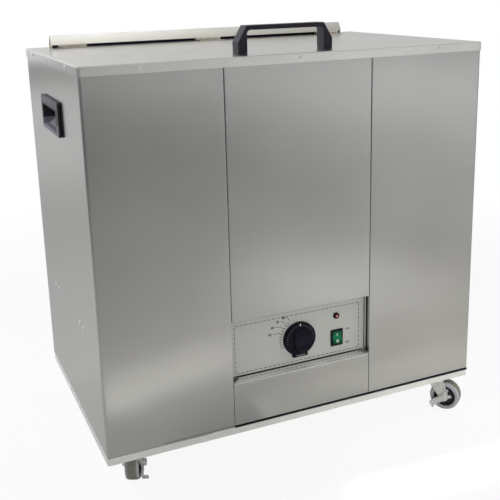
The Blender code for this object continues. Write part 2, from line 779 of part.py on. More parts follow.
def lid(axis):
    """Skin, liner and insulation between them, all carried by the hinge axis."""
    wide = HALF_WIDTH + LID_LAP
    corners = rectangle((-wide, FRONT - LID_LAP), (wide, LID_BACK))
    stations = [(0.0, LID_LOW)] + fold_up(LID_TOP, BEND)
    radii = [CORNER + LID_LAP, CORNER + LID_LAP, SEAM_BEND, SEAM_BEND]
    skin = sheet_shell("lid_skin", corners, radii, stations, high_cap=True)
    cut(skin, over_panels("lid_edge", LID_BACK))
    carry(axis, finish(skin, STEEL))

    low = (-HALF_WIDTH + LINER_MARGIN, FRONT + LINER_MARGIN)
    high = (HALF_WIDTH - LINER_MARGIN, LID_BACK - LINER_MARGIN)
    rise = LID_TOP - SHEET - GAP
    stations = fold_down(LINER_LOW, BEND) + [(0.0, rise)]
    liner = sheet_shell("lid_liner", rectangle(low, high), [CORNER] * 4, stations, low_cap=True)
    carry(axis, finish(liner, STEEL))

    inner = SHEET + BEND
    slab = blocks("lid_insulation", [((low[0] + inner, low[1] + inner, LINER_LOW + SHEET + GAP),
                                      (high[0] - inner, high[1] - inner, rise - GAP))])
    carry(axis, finish(slab, WOOL_FINISH))


def lid_handle(axis):
    """Bridge handle with sloping shoulders, its grip right across between two legs."""
    half, top = HANDLE_LENGTH / 2, HANDLE_TOP_LENGTH / 2
    inner = half - HANDLE_LEG
    under = HANDLE_HEIGHT - HANDLE_BAR
    bend = HANDLE_BAR * 0.8
    right_inner = arc((inner - bend, under - bend), bend, 0.0, math.pi / 2, 3)
    left_inner = [(-x, y) for x, y in reversed(right_inner)]
    outline = [(-half, 0.0), (-inner, 0.0)] + left_inner[::-1] + right_inner[::-1]
    outline += [(inner, 0.0), (half, 0.0), (half, HANDLE_SHOULDER), (top, HANDLE_HEIGHT),
                (-top, HANDLE_HEIGHT), (-half, HANDLE_SHOULDER)]
    middle = FRONT + HANDLE_SETBACK + HANDLE_DEPTH / 2
    place = at(0.0, middle, LID_TOP + GAP, DEPTH_TO_FRONT)
    handle = flat_outline("lid_handle", [outline], HANDLE_DEPTH, place)
    carry(axis, finish(rounded(handle, HANDLE_EDGE), BLACK))


def hinge(label, x, axis):
    """Butt hinge: two leaves with interleaved knuckles on one pin, axis along X."""
    pitch = LEAF_WIDTH / KNUCKLES
    length = pitch - KNUCKLE_GAP
    near, far = BARREL_R + KNUCKLE_GAP, 0.0
    barrel = at(x, HINGE_Y, HINGE_Z, DEPTH_TO_X)
    leaves = (("lid_leaf", -1, LEAF_REACH, 1), ("fixed_leaf", 1, FIXED_LEAF_REACH, 0))
    for kind, way, reach, start in leaves:
        name = label + "_" + kind
        place = at(x, HINGE_Y, LID_TOP + GAP)
        sides = sorted((way * near, way * reach))
        half = LEAF_WIDTH / 2
        leaf = blocks(name, [((-half, sides[0], 0.0), (half, sides[1], LEAF))], place)
        lows = [index * pitch + KNUCKLE_GAP / 2 - half for index in range(start, KNUCKLES, 2)]
        tabs = []
        for low in lows:
            ends = sorted((way * far, way * (near + LEAF)))
            tabs.append(((low + KNUCKLE_GAP, ends[0], LEAF * 0.1),
                         (low + length - KNUCKLE_GAP, ends[1], LEAF * 0.9)))
        join(leaf, blocks(name + "_tabs", tabs, place))
        bore = PIN_R + GAP
        for low in lows:
            high = low + length
            ring = [(BARREL_R, high), (BARREL_R, low), (bore, low), (bore, high)]
            join(leaf, turned(name + "_knuckle", ring, 12, barrel, ring=True))
        finish(leaf, BRIGHT_STEEL)
        if way < 0:
            carry(axis, leaf)
    end = LEAF_WIDTH / 2 + GAP
    profile = [
        (0.0, end + PIN_HEAD),
        (PIN_HEAD_R, end + PIN_HEAD),
        (PIN_HEAD_R, end),
        (PIN_R, end),
        (PIN_R, -end),
        (PIN_HEAD_R, -end),
        (PIN_HEAD_R, -end - PIN_HEAD),
        (0.0, -end - PIN_HEAD),
    ]
    finish(turned(label + "_hinge_pin", profile, 12, barrel), BRIGHT_STEEL)


# Tank

def tank():
    """Seamless tank with rounded corners, hung by its rim on the cabinet's turned-in edges."""
    corners = rectangle((-TANK_HALF, TANK_FRONT), (TANK_HALF, TANK_BACK))
    lap = SHEET / 2
    stations = fold_down(TANK_FLOOR, TANK_FLOOR_BEND) + [(0.0, RIM_LOW + lap)]
    shell = sheet_shell("tank", corners, [TANK_CORNER] * 4, stations, low_cap=True)
    wide = HALF_WIDTH - RIM_MARGIN
    outer = rectangle((-wide, FRONT + RIM_MARGIN), (wide, LID_BACK - RIM_BACK_GAP))
    inner = rectangle((-TANK_HALF + lap, TANK_FRONT + lap), (TANK_HALF - lap, TANK_BACK - lap))
    outlines = [round_outline(outer, CORNER), round_outline(inner, TANK_CORNER - lap)]
    join(shell, flat_outline("tank_rim", outlines, SHEET, at(0.0, 0.0, RIM_LOW + SHEET / 2)))
    level = (TANK_FLOOR - 0.01, TANK_FLOOR + 0.01)
    ends = [((x, ELEMENT_FRONT), *level) for x in (-TERMINAL_X, TERMINAL_X)]
    cut(shell, cylinders("terminal_holes", ends, ELEMENT_R + GAP, 12))
    cut(shell, cylinders("bulb_hole", [((BULB_X, BULB_Y), *level)], CAPILLARY_R + GAP, 10))
    cut(shell, cylinders("tank_drain_hole", [((DRAIN_X, DRAIN_Y), *level)], DRAIN_R + GAP, 16))
    finish(shell, BRIGHT_STEEL)


def tank_insulation():
    half = TANK_HALF + GAP
    front, back = TANK_FRONT - GAP, TANK_BACK + GAP
    inner = rectangle((-half, front), (half, back))
    outer = rectangle((-half - WOOL, front - WOOL), (half + WOOL, back + WOOL))
    low, high = TANK_FLOOR, RIM_LOW - WOOL_TOP_GAP
    outlines = [round_outline(outer, TANK_CORNER + WOOL), round_outline(inner, TANK_CORNER)]
    wool = flat_outline("tank_insulation", outlines, high - low, at(0.0, 0.0, (low + high) / 2))
    finish(wool, WOOL_FINISH)


def tank_gasket():
    """Flat seal on the rim, clear of the lid's back edge as it swings down past it."""
    half = TANK_HALF + GASKET_MARGIN
    front, back = TANK_FRONT - GASKET_MARGIN, TANK_BACK + GASKET_MARGIN / 2
    inner = rectangle((-half, front), (half, back))
    wide = half + GASKET_WIDTH
    outer = rectangle((-wide, front - GASKET_WIDTH), (wide, back + GASKET_WIDTH))
    outlines = [round_outline(outer, TANK_CORNER), round_outline(inner, TANK_CORNER / 2)]
    place = at(0.0, 0.0, GASKET_LOW + GASKET_HEIGHT / 2)
    finish(flat_outline("tank_gasket", outlines, GASKET_HEIGHT, place), SILICONE)


def tank_support(side):
    """Angle fixed to the side sheet, its shelf under the tank's floor."""
    name = "left_tank_support" if side < 0 else "right_tank_support"
    outer = HALF_WIDTH - SHEET - GAP
    top = TANK_FLOOR - GAP
    inner = TANK_HALF - SUPPORT_LAP
    under = top - SUPPORT_SHEET
    web = outer - SUPPORT_SHEET
    low = top - SUPPORT_DROP
    section = [(outer, top), (inner, top), (inner, under), (web, under), (web, low), (outer, low)]
    section = [(side * x, z) for x, z in section]
    angle = flat_outline(name, [section], SUPPORT_LENGTH, DEPTH_TO_FRONT)
    finish(angle, ZINC)


def bend_path(corners, radius, steps=4):
    """A route through corners with round bends."""
    points = [Vector(corners[0])]
    for before, corner, after in zip(corners, corners[1:], corners[2:]):
        here = Vector(corner)
        way_in, way_out = (here - Vector(before)).normalized(), (Vector(after) - here).normalized()
        turn = way_in.angle(way_out)
        reach = radius * math.tan(turn / 2)
        side = (way_out - way_in * math.cos(turn)).normalized()
        start = here - way_in * reach
        for index in range(steps + 1):
            angle = turn * index / steps
            along = way_in * (radius * math.sin(angle))
            points.append(start + along + side * (radius * (1 - math.cos(angle))))
    points.append(Vector(corners[-1]))
    return points


def heating_element():
    """Tubular immersion element: a serpentine over the tank's floor with both ends through it."""
    z = TANK_INNER_FLOOR + ELEMENT_LIFT
    low = TANK_FLOOR - TERMINAL_DROP
    front, back = ELEMENT_FRONT, ELEMENT_BACK
    second, third = front + (back - front) / 3, back - (back - front) / 3
    far = ELEMENT_HALF
    near = far - ELEMENT_RETURN
    corners = [
        (-TERMINAL_X, front, low),
        (-TERMINAL_X, front, z),
        (-far, front, z),
        (-far, second, z),
        (near, second, z),
        (near, third, z),
        (-far, third, z),
        (-far, back, z),
        (far, back, z),
        (far, front, z),
        (TERMINAL_X, front, z),
        (TERMINAL_X, front, low),
    ]
    element = tube("heating_element", bend_path(corners, ELEMENT_BEND), ELEMENT_R)
    seat = TANK_INNER_FLOOR + GAP
    collars = [((x, front), seat, seat + COLLAR_HEIGHT) for x in (-TERMINAL_X, TERMINAL_X)]
    finish(join(element, cylinders("element_collars", collars, COLLAR_R, 12)), ZINC)


def element_guard():
    """Slotted shelf on two turned-down legs that keeps the packs off the element."""
    half = TANK_HALF - SHEET - GUARD_SIDE_GAP
    foot = TANK_INNER_FLOOR + GAP
    front, back = TANK_FRONT + SHEET + GUARD_END_GAP, TANK_BACK - SHEET - GUARD_END_GAP
    section = [(half, foot), (half, GUARD_TOP), (-half, GUARD_TOP), (-half, foot)]
    ends = [(0.0, -back), (0.0, -front)]
    guard = sheet_shell("element_guard", section, [0.0, BEND, BEND, 0.0], ends,
                        closed=False, place=DEPTH_TO_FRONT)
    slots = []
    step_x, step_y = 2 * half / (SLOT_COLUMNS + 0.5), (back - front) / (SLOT_ROWS + 0.5)
    for column in range(SLOT_COLUMNS):
        for row in range(SLOT_ROWS):
            x = (column - (SLOT_COLUMNS - 1) / 2) * step_x
            y = (front + back) / 2 + (row - (SLOT_ROWS - 1) / 2) * step_y
            slots.append(((x - SLOT_LENGTH / 2, y - SLOT_WIDTH / 2, GUARD_TOP - 0.01),
                          (x + SLOT_LENGTH / 2, y + SLOT_WIDTH / 2, GUARD_TOP + 0.01)))
    finish(cut(guard, blocks("guard_slots", slots)), BRIGHT_STEEL)


def pack_divider(name, x):
    """Wire grid that stands across the tank and keeps the packs apart."""
    inset = SHEET + DIVIDER_GAP + DIVIDER_R
    front, back = TANK_FRONT + inset, TANK_BACK - inset
    low = GUARD_TOP + GAP + DIVIDER_R
    high = RIM_LOW - DIVIDER_TOP_GAP
    outline = round_outline(rectangle((front, low), (back, high)), DIVIDER_BEND, steps=4)
    frame = tube(name, [(x, y, z) for y, z in outline], DIVIDER_R, cyclic=True)
    pitch = (back - front) / (BAR_COUNT + 1)
    bars = [((x, front + (index + 1) * pitch), low, high) for index in range(BAR_COUNT)]
    finish(join(frame, cylinders(name + "_bars", bars, BAR_R, 8)), BRIGHT_STEEL)


def drain():
    """Drain pipe from the tank's floor down through the base, closed by a cap."""
    top = TANK_INNER_FLOOR + GAP + DRAIN_FLANGE
    bore = DRAIN_R - DRAIN_WALL
    cap = DRAIN_END + DRAIN_CAP
    seat = top - DRAIN_FLANGE
    profile = [
        (0.0, top),
        (DRAIN_FLANGE_R, top),
        (DRAIN_FLANGE_R, seat),
        (DRAIN_R, seat),
        (DRAIN_R, cap),
        (DRAIN_CAP_R, cap),
        (DRAIN_CAP_R, DRAIN_END),
        (0.0, DRAIN_END),
    ]
    pipe = turned("drain_pipe", profile, 16, at(DRAIN_X, DRAIN_Y, 0.0))
    span = ((DRAIN_X, DRAIN_Y), DRAIN_END + DRAIN_CAP / 2, top + 0.01)
    finish(cut(pipe, cylinders("drain_bore", [span], bore, 16)), BRASS)


# Controls

def control_plate():
    half = SEAM_X + PLATE_OVERLAP
    low, high = RECESS_LOW - PLATE_OVERLAP, RECESS_HIGH + PLATE_OVERLAP
    plate = blocks("control_plate", [((-half, PLATE_FRONT, low), (half, PLATE_BACK, high))])
    through = [((0.0, 0.0), -0.01, 0.01)]
    shaft_place = at(0.0, PLATE_FRONT, KNOB_Z, DEPTH_TO_Y)
    lamp_place = at(LAMP_X, PLATE_FRONT, LAMP_Z, DEPTH_TO_Y)
    cut(plate, cylinders("shaft_hole", through, SHAFT_R + GAP, 16, shaft_place))
    cut(plate, cylinders("lamp_hole", through, LAMP_BARREL_R + 2 * GAP, 16, lamp_place))
    x, z = switch_body_half()
    cut(plate, blocks("switch_hole", [((SWITCH_X - x - GAP, PLATE_FRONT - 0.01, SWITCH_Z - z - GAP),
                                       (SWITCH_X + x + GAP, PLATE_BACK + 0.01, SWITCH_Z + z + GAP))]))
    finish(plate, GREY_LABEL)


def control_box():
    """Tray behind the control plate that closes off the wiring space."""
    middle = (RECESS_LOW + RECESS_HIGH) / 2
    half_height = RECESS_HEIGHT / 2 - BOX_MARGIN
    half_width = SEAM_X - BOX_SIDE_MARGIN
    corners = rectangle((-half_width, -half_height), (half_width, half_height))
    stations = [(-BOX_FLANGE / 2, SHEET), (0.0, SHEET)] + fold_up(BOX_DEPTH, BEND)
    place = at(0.0, BOX_FRONT, middle, DEPTH_TO_Y)
    box = sheet_shell("control_box", corners, [CORNER] * 4, stations, high_cap=True, place=place)
    span = ((0.0, 0.0), BOX_DEPTH / 2, BOX_DEPTH * 1.5)
    way = cylinders("capillary_way", [span], CAPILLARY_R * 2.5, 10,
                    at(0.0, BOX_FRONT, KNOB_Z, DEPTH_TO_Y))
    finish(cut(box, way), ZINC)


def thermostat():
    half = THERMOSTAT / 2
    body = blocks("thermostat", [((-half, BOX_FRONT, KNOB_Z - half),
                                  (half, BOX_FRONT + THERMOSTAT_DEPTH, KNOB_Z + half))])
    bore = cylinders("shaft_bore", [((0.0, 0.0), -0.01, SHAFT_IN_BODY + GAP)], SHAFT_R + GAP, 16,
                     at(0.0, BOX_FRONT, KNOB_Z, DEPTH_TO_Y))
    finish(cut(body, bore), PHENOLIC)

    start = BOX_FRONT + THERMOSTAT_DEPTH + GAP
    bulb_z = TANK_INNER_FLOOR + BULB_LIFT
    route = bend_path([(0.0, start, KNOB_Z), (0.0, BULB_Y, KNOB_Z), (BULB_X, BULB_Y, KNOB_Z),
                       (BULB_X, BULB_Y, bulb_z), (BULB_X + 4 * BULB_R, BULB_Y, bulb_z)], BULB_R, steps=3)
    narrow = [1.0] * len(route)
    end = route[-1]
    thick = BULB_R / CAPILLARY_R
    far = BULB_R + BULB_LENGTH
    for along, width in ((BULB_R, thick), (far, thick), (far + BULB_R, thick / 3)):
        route.append(end + Vector((along, 0.0, 0.0)))
        narrow.append(width)
    finish(tube("thermostat_bulb", route, CAPILLARY_R, widths=narrow), BRASS)


def knob():
    """Flat dial with a bevelled edge, a raised grip bar across its face and a thumb tab below."""
    back = PLATE_FRONT - KNOB_LIFT
    profile = [
        (0.0, KNOB_FACE),
        (KNOB_FACE_R, KNOB_FACE),
        (KNOB_R, KNOB_RIM),
        (KNOB_R, 0.0),
        (0.0, 0.0),
    ]
    place = at(0.0, back, KNOB_Z, DEPTH_TO_FRONT)
    dial = turned("dial_knob", profile, 40, place)
    root = KNOB_FACE / 2
    levels = (
        (GRIP_BAR_WIDTH / 2, GRIP_BAR_LENGTH / 2, root),
        (GRIP_BAR_TOP / 2, GRIP_BAR_LENGTH / 2 - GRIP_BAR_SLOPE, GRIP_BAR_HEIGHT),
    )
    bm = bmesh.new()
    rings = []
    for wide, long, level in levels:
        corners = round_outline(rectangle((-wide, -long), (wide, long)), wide * 0.6, steps=4)
        rings.append([bm.verts.new((p[0], p[1], level)) for p in corners])
    for index in range(len(rings[0])):
        after = (index + 1) % len(rings[0])
        bm.faces.new((rings[0][index], rings[0][after], rings[1][after], rings[1][index]))
    bm.faces.new(reversed(rings[0]))
    bm.faces.new(rings[1])
    join(dial, mesh_object("grip_bar", bm, place))
    tab = blocks("knob_tab", [((-TAB_WIDTH / 2, -TAB_REACH, 0.0),
                               (TAB_WIDTH / 2, GRIP_BAR_WIDTH / 2 - KNOB_FACE_R, TAB_HEIGHT))], place)
    join(dial, rounded(tab, KNOB_LIFT, 1))
    bore = cylinders("knob_bore", [((0.0, 0.0), -0.01, SHAFT_IN_KNOB + GAP)], SHAFT_R + GAP, 16, place)
    finish(cut(dial, bore), BLACK)
    span = ((0.0, 0.0), -SHAFT_IN_KNOB, BOX_FRONT - back + SHAFT_IN_BODY)
    shaft = cylinders("thermostat_shaft", [span], SHAFT_R, 16, at(0.0, back, KNOB_Z, DEPTH_TO_Y))
    finish(shaft, ZINC)


def switch_body_half():
    return BEZEL_WIDTH / 2 - SWITCH_WALL / 2, BEZEL_HEIGHT / 2 - SWITCH_WALL / 2


def rocker_half():
    return BEZEL_WIDTH / 2 - SWITCH_WALL - ROCKER_GAP, BEZEL_HEIGHT / 2 - SWITCH_WALL - ROCKER_GAP


def switch():
    """Snap-in rocker switch: flanged housing with an open front, and the rocker in it."""
    x, z = BEZEL_WIDTH / 2, BEZEL_HEIGHT / 2
    face = PLATE_FRONT - GAP
    flange = ((SWITCH_X - x, face - BEZEL_PROUD, SWITCH_Z - z), (SWITCH_X + x, face, SWITCH_Z + z))
    housing = rounded(blocks("switch_housing", [flange]), BEZEL_PROUD / 3, 2)
    bx, bz = switch_body_half()
    body = blocks("switch_body", [((SWITCH_X - bx, face - BEZEL_PROUD / 2, SWITCH_Z - bz),
                                   (SWITCH_X + bx, PLATE_BACK + SWITCH_DEPTH, SWITCH_Z + bz))])
    join(housing, body)
    rx, rz = rocker_half()
    deep = PLATE_FRONT + ROCKER_BACK + rz * math.sin(ROCKER_TILT) + 2 * ROCKER_GAP
    wide, tall = rx + ROCKER_GAP, rz + ROCKER_GAP
    hollow = blocks("rocker_space", [((SWITCH_X - wide, face - 2 * BEZEL_PROUD, SWITCH_Z - tall),
                                      (SWITCH_X + wide, deep, SWITCH_Z + tall))])
    finish(cut(housing, hollow), BLACK)

    reach = rz - ROCKER_GAP
    front = BEZEL_PROUD + ROCKER_PROUD
    section = [(-reach, -ROCKER_BACK), (reach, -ROCKER_BACK), (reach, front),
               (0.0, front - ROCKER_DIP), (-reach, front)]
    section = [(z, depth + ROCKER_PIVOT) for z, depth in section]
    stand = Matrix(((0, 0, 1, 0), (0, -1, 0, 0), (1, 0, 0, 0), (0, 0, 0, 1)))
    tilt = Matrix.Rotation(-ROCKER_TILT, 4, "X")
    place = at(SWITCH_X, PLATE_FRONT + ROCKER_PIVOT, SWITCH_Z, tilt @ stand)
    rocker = flat_outline("rocker", [section], 2 * rx, place)
    finish(rounded(rocker, ROCKER_GAP, 1), GREEN)


def pilot_lamp():
    """Bezel and barrel of the heating lamp, and its domed lens."""
    face = GAP
    back = -PLATE - GAP
    seat = face + LAMP_PROUD / 3
    profile = [
        (0.0, seat),
        (LENS_R + GAP, seat),
        (LENS_R + GAP, face + LAMP_PROUD),
        (LAMP_R - GAP, face + LAMP_PROUD),
        (LAMP_R, face + LAMP_PROUD / 2),
        (LAMP_R, face),
        (LAMP_BARREL_R, face),
        (LAMP_BARREL_R, back - LAMP_DEPTH),
        (0.0, back - LAMP_DEPTH),
    ]
    place = at(LAMP_X, PLATE_FRONT, LAMP_Z, DEPTH_TO_FRONT)
    finish(turned("pilot_lamp", profile, 20, place), BLACK)
    base_level = seat + GAP
    top = face + LAMP_PROUD + LENS_DOME
    lens = [(0.0, top), (LENS_R * 0.5, top - LENS_DOME * 0.25), (LENS_R * 0.85, top - LENS_DOME * 0.7),
            (LENS_R, top - LENS_DOME), (LENS_R, base_level), (0.0, base_level)]
    finish(turned("pilot_lens", lens, 20, place), RED_LENS)


# Side grips

def side_grip(side):
    """Recessed grip: a flange outside the sheet and a pocket whose floor slopes out to the lower edge."""
    name = "left_grip" if side < 0 else "right_grip"
    place = at(side * HALF_WIDTH, 0.0, 0.0, Matrix.Rotation(0.0 if side > 0 else math.pi, 4, "Z"))
    stand = place @ Matrix(((0, 0, 1, 0), (1, 0, 0, 0), (0, 1, 0, 0), (0, 0, 0, 1)))
    low, high = GRIP_MIDDLE - GRIP_HEIGHT / 2, GRIP_MIDDLE + GRIP_HEIGHT / 2
    outline = round_outline(rectangle((-GRIP_LENGTH / 2, low), (GRIP_LENGTH / 2, high)), GRIP_CORNER)
    proud = Matrix.Translation((0.0, 0.0, GAP + GRIP_PROUD / 2))
    grip = flat_outline(name, [outline], GRIP_PROUD, stand @ proud)
    rounded(grip, GRIP_EDGE, 2)

    def pocket(label, grow, depth, mouth):
        top, bottom = pocket_high() + grow, pocket_low() - grow
        knee = top - (top - bottom) * POCKET_FLOOR
        shallow = depth * 0.15
        section = [(mouth, top), (-depth, top), (-depth, knee), (-shallow, bottom), (mouth, bottom)]
        swing = place @ Matrix(((1, 0, 0, 0), (0, 0, -1, side * POCKET_SHIFT), (0, 1, 0, 0), (0, 0, 0, 1)))
        return flat_outline(label, [section], POCKET_LENGTH + 2 * grow, swing)

    join(grip, pocket(name + "_tub", POCKET_WALL, POCKET_DEPTH + POCKET_WALL, GRIP_PROUD / 2))
    cut(grip, pocket(name + "_space", 0.0, POCKET_DEPTH, 2 * GRIP_PROUD))
    finish(grip, BLACK)


# Casters

def tangent_angle(point, centre, radius, way):
    """Angle on a circle where a line from an outside point touches it, on one side."""
    offset = Vector(point) - Vector(centre)
    return math.atan2(offset.y, offset.x) + way * math.acos(radius / offset.length)


def fork_leg_outline(top):
    """Leg that narrows from the crown to a round eye at the axle, in trail and height."""
    eye = (TRAIL, WHEEL_Z)
    left = tangent_angle((LEG_BACK, top), eye, LEG_EYE_R, 1)
    right = tangent_angle((LEG_FRONT, top), eye, LEG_EYE_R, -1)
    left -= 2 * math.pi if left > right else 0.0
    return [(LEG_FRONT, top), (LEG_BACK, top)] + arc(eye, LEG_EYE_R, left, right, 7)


def brake_outline(arms):
    """Round eye with straight arms, each given by angle, reach and half width, in order of angle."""
    outline = []
    for (angle, reach, wing), (after, _, next_wing) in zip(arms, arms[1:] + arms[:1]):
        along = Vector((math.cos(angle), math.sin(angle)))
        across = Vector((-along.y, along.x))
        outline += [tuple(along * reach + across * (way * wing)) for way in (-1, 1)]
        start = angle + math.asin(wing / BRAKE_EYE_R)
        end = after - math.asin(next_wing / BRAKE_EYE_R)
        end += 2 * math.pi if end < start else 0.0
        outline += arc((0.0, 0.0), BRAKE_EYE_R, start, end, max(1, round((end - start) / 0.4)))
    return outline


def caster(label, heading, braked, place):
    """Swivel caster round its own upright axis, trailing along +X before it is turned to its heading."""
    top = CASTER_TOP
    low = top - CASTER_PLATE_THICK
    half = CASTER_PLATE / 2
    plate = blocks(label + "_caster_plate", [((-half, -half, low), (half, half, top))], place)
    rounded(plate, CASTER_PLATE_THICK / 3, 1)
    crown_low = CROWN_TOP - FORK_SHEET
    head = crown_low - GAP
    race = CROWN_TOP + GAP
    inside = top - CASTER_PLATE_THICK / 2
    bevel = RACE_HEIGHT / 4
    profile = [
        (0.0, inside),
        (RACE_R, inside),
        (RACE_R, race + bevel),
        (RACE_R - bevel, race),
        (KINGPIN_R, race),
        (KINGPIN_R, head),
        (KINGPIN_HEAD_R, head),
        (KINGPIN_HEAD_R * 0.7, head - KINGPIN_HEAD),
        (0.0, head - KINGPIN_HEAD),
    ]
    finish(join(plate, turned(label + "_kingpin", profile, 16, place)), ZINC)

    turned_place = place @ Matrix.Rotation(heading, 4, "Z")
    swivel = axis_empty(label + "_swivel", turned_place)

    crown = arc((0.0, 0.0), CROWN_R, math.pi * 0.28, math.pi * 1.72, 12)
    crown += [(LEG_FRONT, -LEG_OUTER), (LEG_FRONT, LEG_OUTER)]
    crown_place = turned_place @ at(0.0, 0.0, CROWN_TOP - FORK_SHEET / 2)
    fork = flat_outline(label + "_fork", [crown], FORK_SHEET, crown_place)
    span = ((0.0, 0.0), crown_low - 0.01, CROWN_TOP + 0.01)
    hole = cylinders(label + "_kingpin_way", [span], KINGPIN_R + GAP, 16, turned_place)
    for side in (-1, 1):
        middle = side * (LEG_INNER + LEG_OUTER) / 2
        leg = flat_outline(label + "_leg", [fork_leg_outline(CROWN_TOP - FORK_SHEET / 4)], FORK_SHEET,
                           turned_place @ at(0.0, middle, 0.0, DEPTH_TO_FRONT))
        join(fork, leg)
    axle_place = turned_place @ at(TRAIL, 0.0, WHEEL_Z, DEPTH_TO_FRONT)
    brake_room = BRAKE_SHEET + 2 * GAP if braked else 0.0
    lift = FORK_SHEET / 4
    front_nut = LEG_OUTER + brake_room - (0.0 if braked else lift)
    spans = [((0.0, 0.0), -LEG_OUTER - NUT_HEIGHT, front_nut + NUT_HEIGHT)]
    join(fork, cylinders(label + "_axle", spans, AXLE_R, 12, axle_place))
    nuts = [((0.0, 0.0), front_nut, front_nut + NUT_HEIGHT - lift),
            ((0.0, 0.0), -LEG_OUTER - NUT_HEIGHT + lift, lift - LEG_OUTER)]
    join(fork, cylinders(label + "_nuts", nuts, NUT_R, 6, axle_place))
    finish(cut(fork, hole), ZINC)

    half_turn = math.pi / WHEEL_SIDES
    bore = AXLE_R + GAP
    profile = [
        (bore, HUB_HALF),
        (HUB_R, HUB_HALF),
        (HUB_R, WEB_HALF),
        (RIM_R, WEB_HALF),
        (RIM_R + (WHEEL_HALF - WEB_HALF) / 2, WHEEL_HALF),
        (WHEEL_R - TYRE_ROUND, WHEEL_HALF),
        (WHEEL_R, WHEEL_HALF - TYRE_ROUND),
    ]
    profile += [(radius, -height) for radius, height in reversed(profile)]
    phase = half_turn + math.pi / 2
    wheel = turned(label + "_wheel", profile, WHEEL_SIDES, axle_place, ring=True, phase=phase)
    finish(wheel, RUBBER)
    pieces = [fork, wheel]

    if braked:
        wing = BRAKE_WIDTH / 2
        outline = brake_outline(PRONGS + ((BRAKE_ANGLE, BRAKE_REACH, wing),))
        near = LEG_OUTER + GAP
        lever_place = axle_place @ Matrix.Translation((0.0, 0.0, near + BRAKE_SHEET / 2))
        lever = flat_outline(label + "_brake_lever", [outline], BRAKE_SHEET, lever_place)
        turn = axle_place @ Matrix.Rotation(BRAKE_ANGLE, 4, "Z")
        low = (BRAKE_REACH - BRAKE_SHEET, -wing * 0.98, near + BRAKE_SHEET * 0.25)
        high = (BRAKE_REACH - BRAKE_SHEET * 0.02, wing * 0.98, near + BRAKE_SHEET + BRAKE_TAB)
        join(lever, blocks(label + "_brake_tab", [(low, high)], turn))
        span = ((0.0, 0.0), 0.0, near + 0.01)
        hole = cylinders(label + "_brake_bore", [span], AXLE_R + GAP, 12, axle_place)
        finish(cut(lever, hole), ZINC)
        pieces.append(lever)
    for piece in pieces:
        carry(swivel, piece)


def main():
    for side in (-1, 1):
        side_panel(side)
        side_grip(side)
        tank_support(side)
    front_panels()
    back_panel()
    cable_gland()
    base()
    rear_deck()
    hinge_rail()
    axis = axis_empty("lid_axis", Matrix.Translation((0.0, HINGE_Y, HINGE_Z)))
    lid(axis)
    lid_handle(axis)
    for label, x in (("left", -HINGE_SPACING), ("middle", 0.0), ("right", HINGE_SPACING)):
        hinge(label, x, axis)
    tank()
    tank_insulation()
    tank_gasket()
    heating_element()
    element_guard()
    for label, x in (("left", -DIVIDER_PITCH), ("middle", 0.0), ("right", DIVIDER_PITCH)):
        pack_divider(label + "_divider", x)
    drain()
    control_plate()
    control_box()
    thermostat()
    knob()
    switch()
    pilot_lamp()
    x, y = HALF_WIDTH - CASTER_INSET_X, BACK - CASTER_INSET_Y
    for label, (side, end, heading, braked) in CASTERS.items():
        shift = FRONT_CASTER_SHIFT if end < 0 else 0.0
        caster(label, heading, braked, Matrix.Translation((side * x + shift, end * y, 0.0)))


main()
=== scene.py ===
import json
import math

import bmesh
import bpy
import numpy as np
from mathutils import Matrix, Vector


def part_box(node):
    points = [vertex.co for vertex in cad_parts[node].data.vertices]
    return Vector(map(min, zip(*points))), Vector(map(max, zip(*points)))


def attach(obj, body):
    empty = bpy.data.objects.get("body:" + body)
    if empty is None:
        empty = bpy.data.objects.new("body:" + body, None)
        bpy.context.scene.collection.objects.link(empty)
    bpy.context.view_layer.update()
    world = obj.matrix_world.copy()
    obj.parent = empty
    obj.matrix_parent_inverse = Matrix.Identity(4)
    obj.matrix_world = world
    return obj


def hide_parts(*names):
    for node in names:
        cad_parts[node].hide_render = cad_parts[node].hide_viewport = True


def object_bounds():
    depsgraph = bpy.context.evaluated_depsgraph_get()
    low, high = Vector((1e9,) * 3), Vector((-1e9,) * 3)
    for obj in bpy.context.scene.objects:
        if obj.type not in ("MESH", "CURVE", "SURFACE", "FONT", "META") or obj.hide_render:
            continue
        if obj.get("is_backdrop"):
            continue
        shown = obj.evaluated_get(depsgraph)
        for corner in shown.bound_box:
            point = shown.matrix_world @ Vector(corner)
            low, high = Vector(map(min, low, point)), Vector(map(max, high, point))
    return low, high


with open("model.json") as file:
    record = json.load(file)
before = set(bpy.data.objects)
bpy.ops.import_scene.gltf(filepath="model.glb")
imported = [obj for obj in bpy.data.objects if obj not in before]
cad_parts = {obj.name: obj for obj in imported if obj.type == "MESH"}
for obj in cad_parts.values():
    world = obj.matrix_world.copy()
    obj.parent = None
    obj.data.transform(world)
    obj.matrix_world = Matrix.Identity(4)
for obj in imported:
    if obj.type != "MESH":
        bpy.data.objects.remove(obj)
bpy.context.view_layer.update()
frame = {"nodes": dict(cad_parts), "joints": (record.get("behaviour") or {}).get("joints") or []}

nodes = frame["nodes"]
joints = {joint["name"]: joint for joint in frame["joints"]}
corners = ("front_left", "front_right", "rear_left", "rear_right")
hinges = ("left", "middle", "right")
bothWays = (-1, 1)


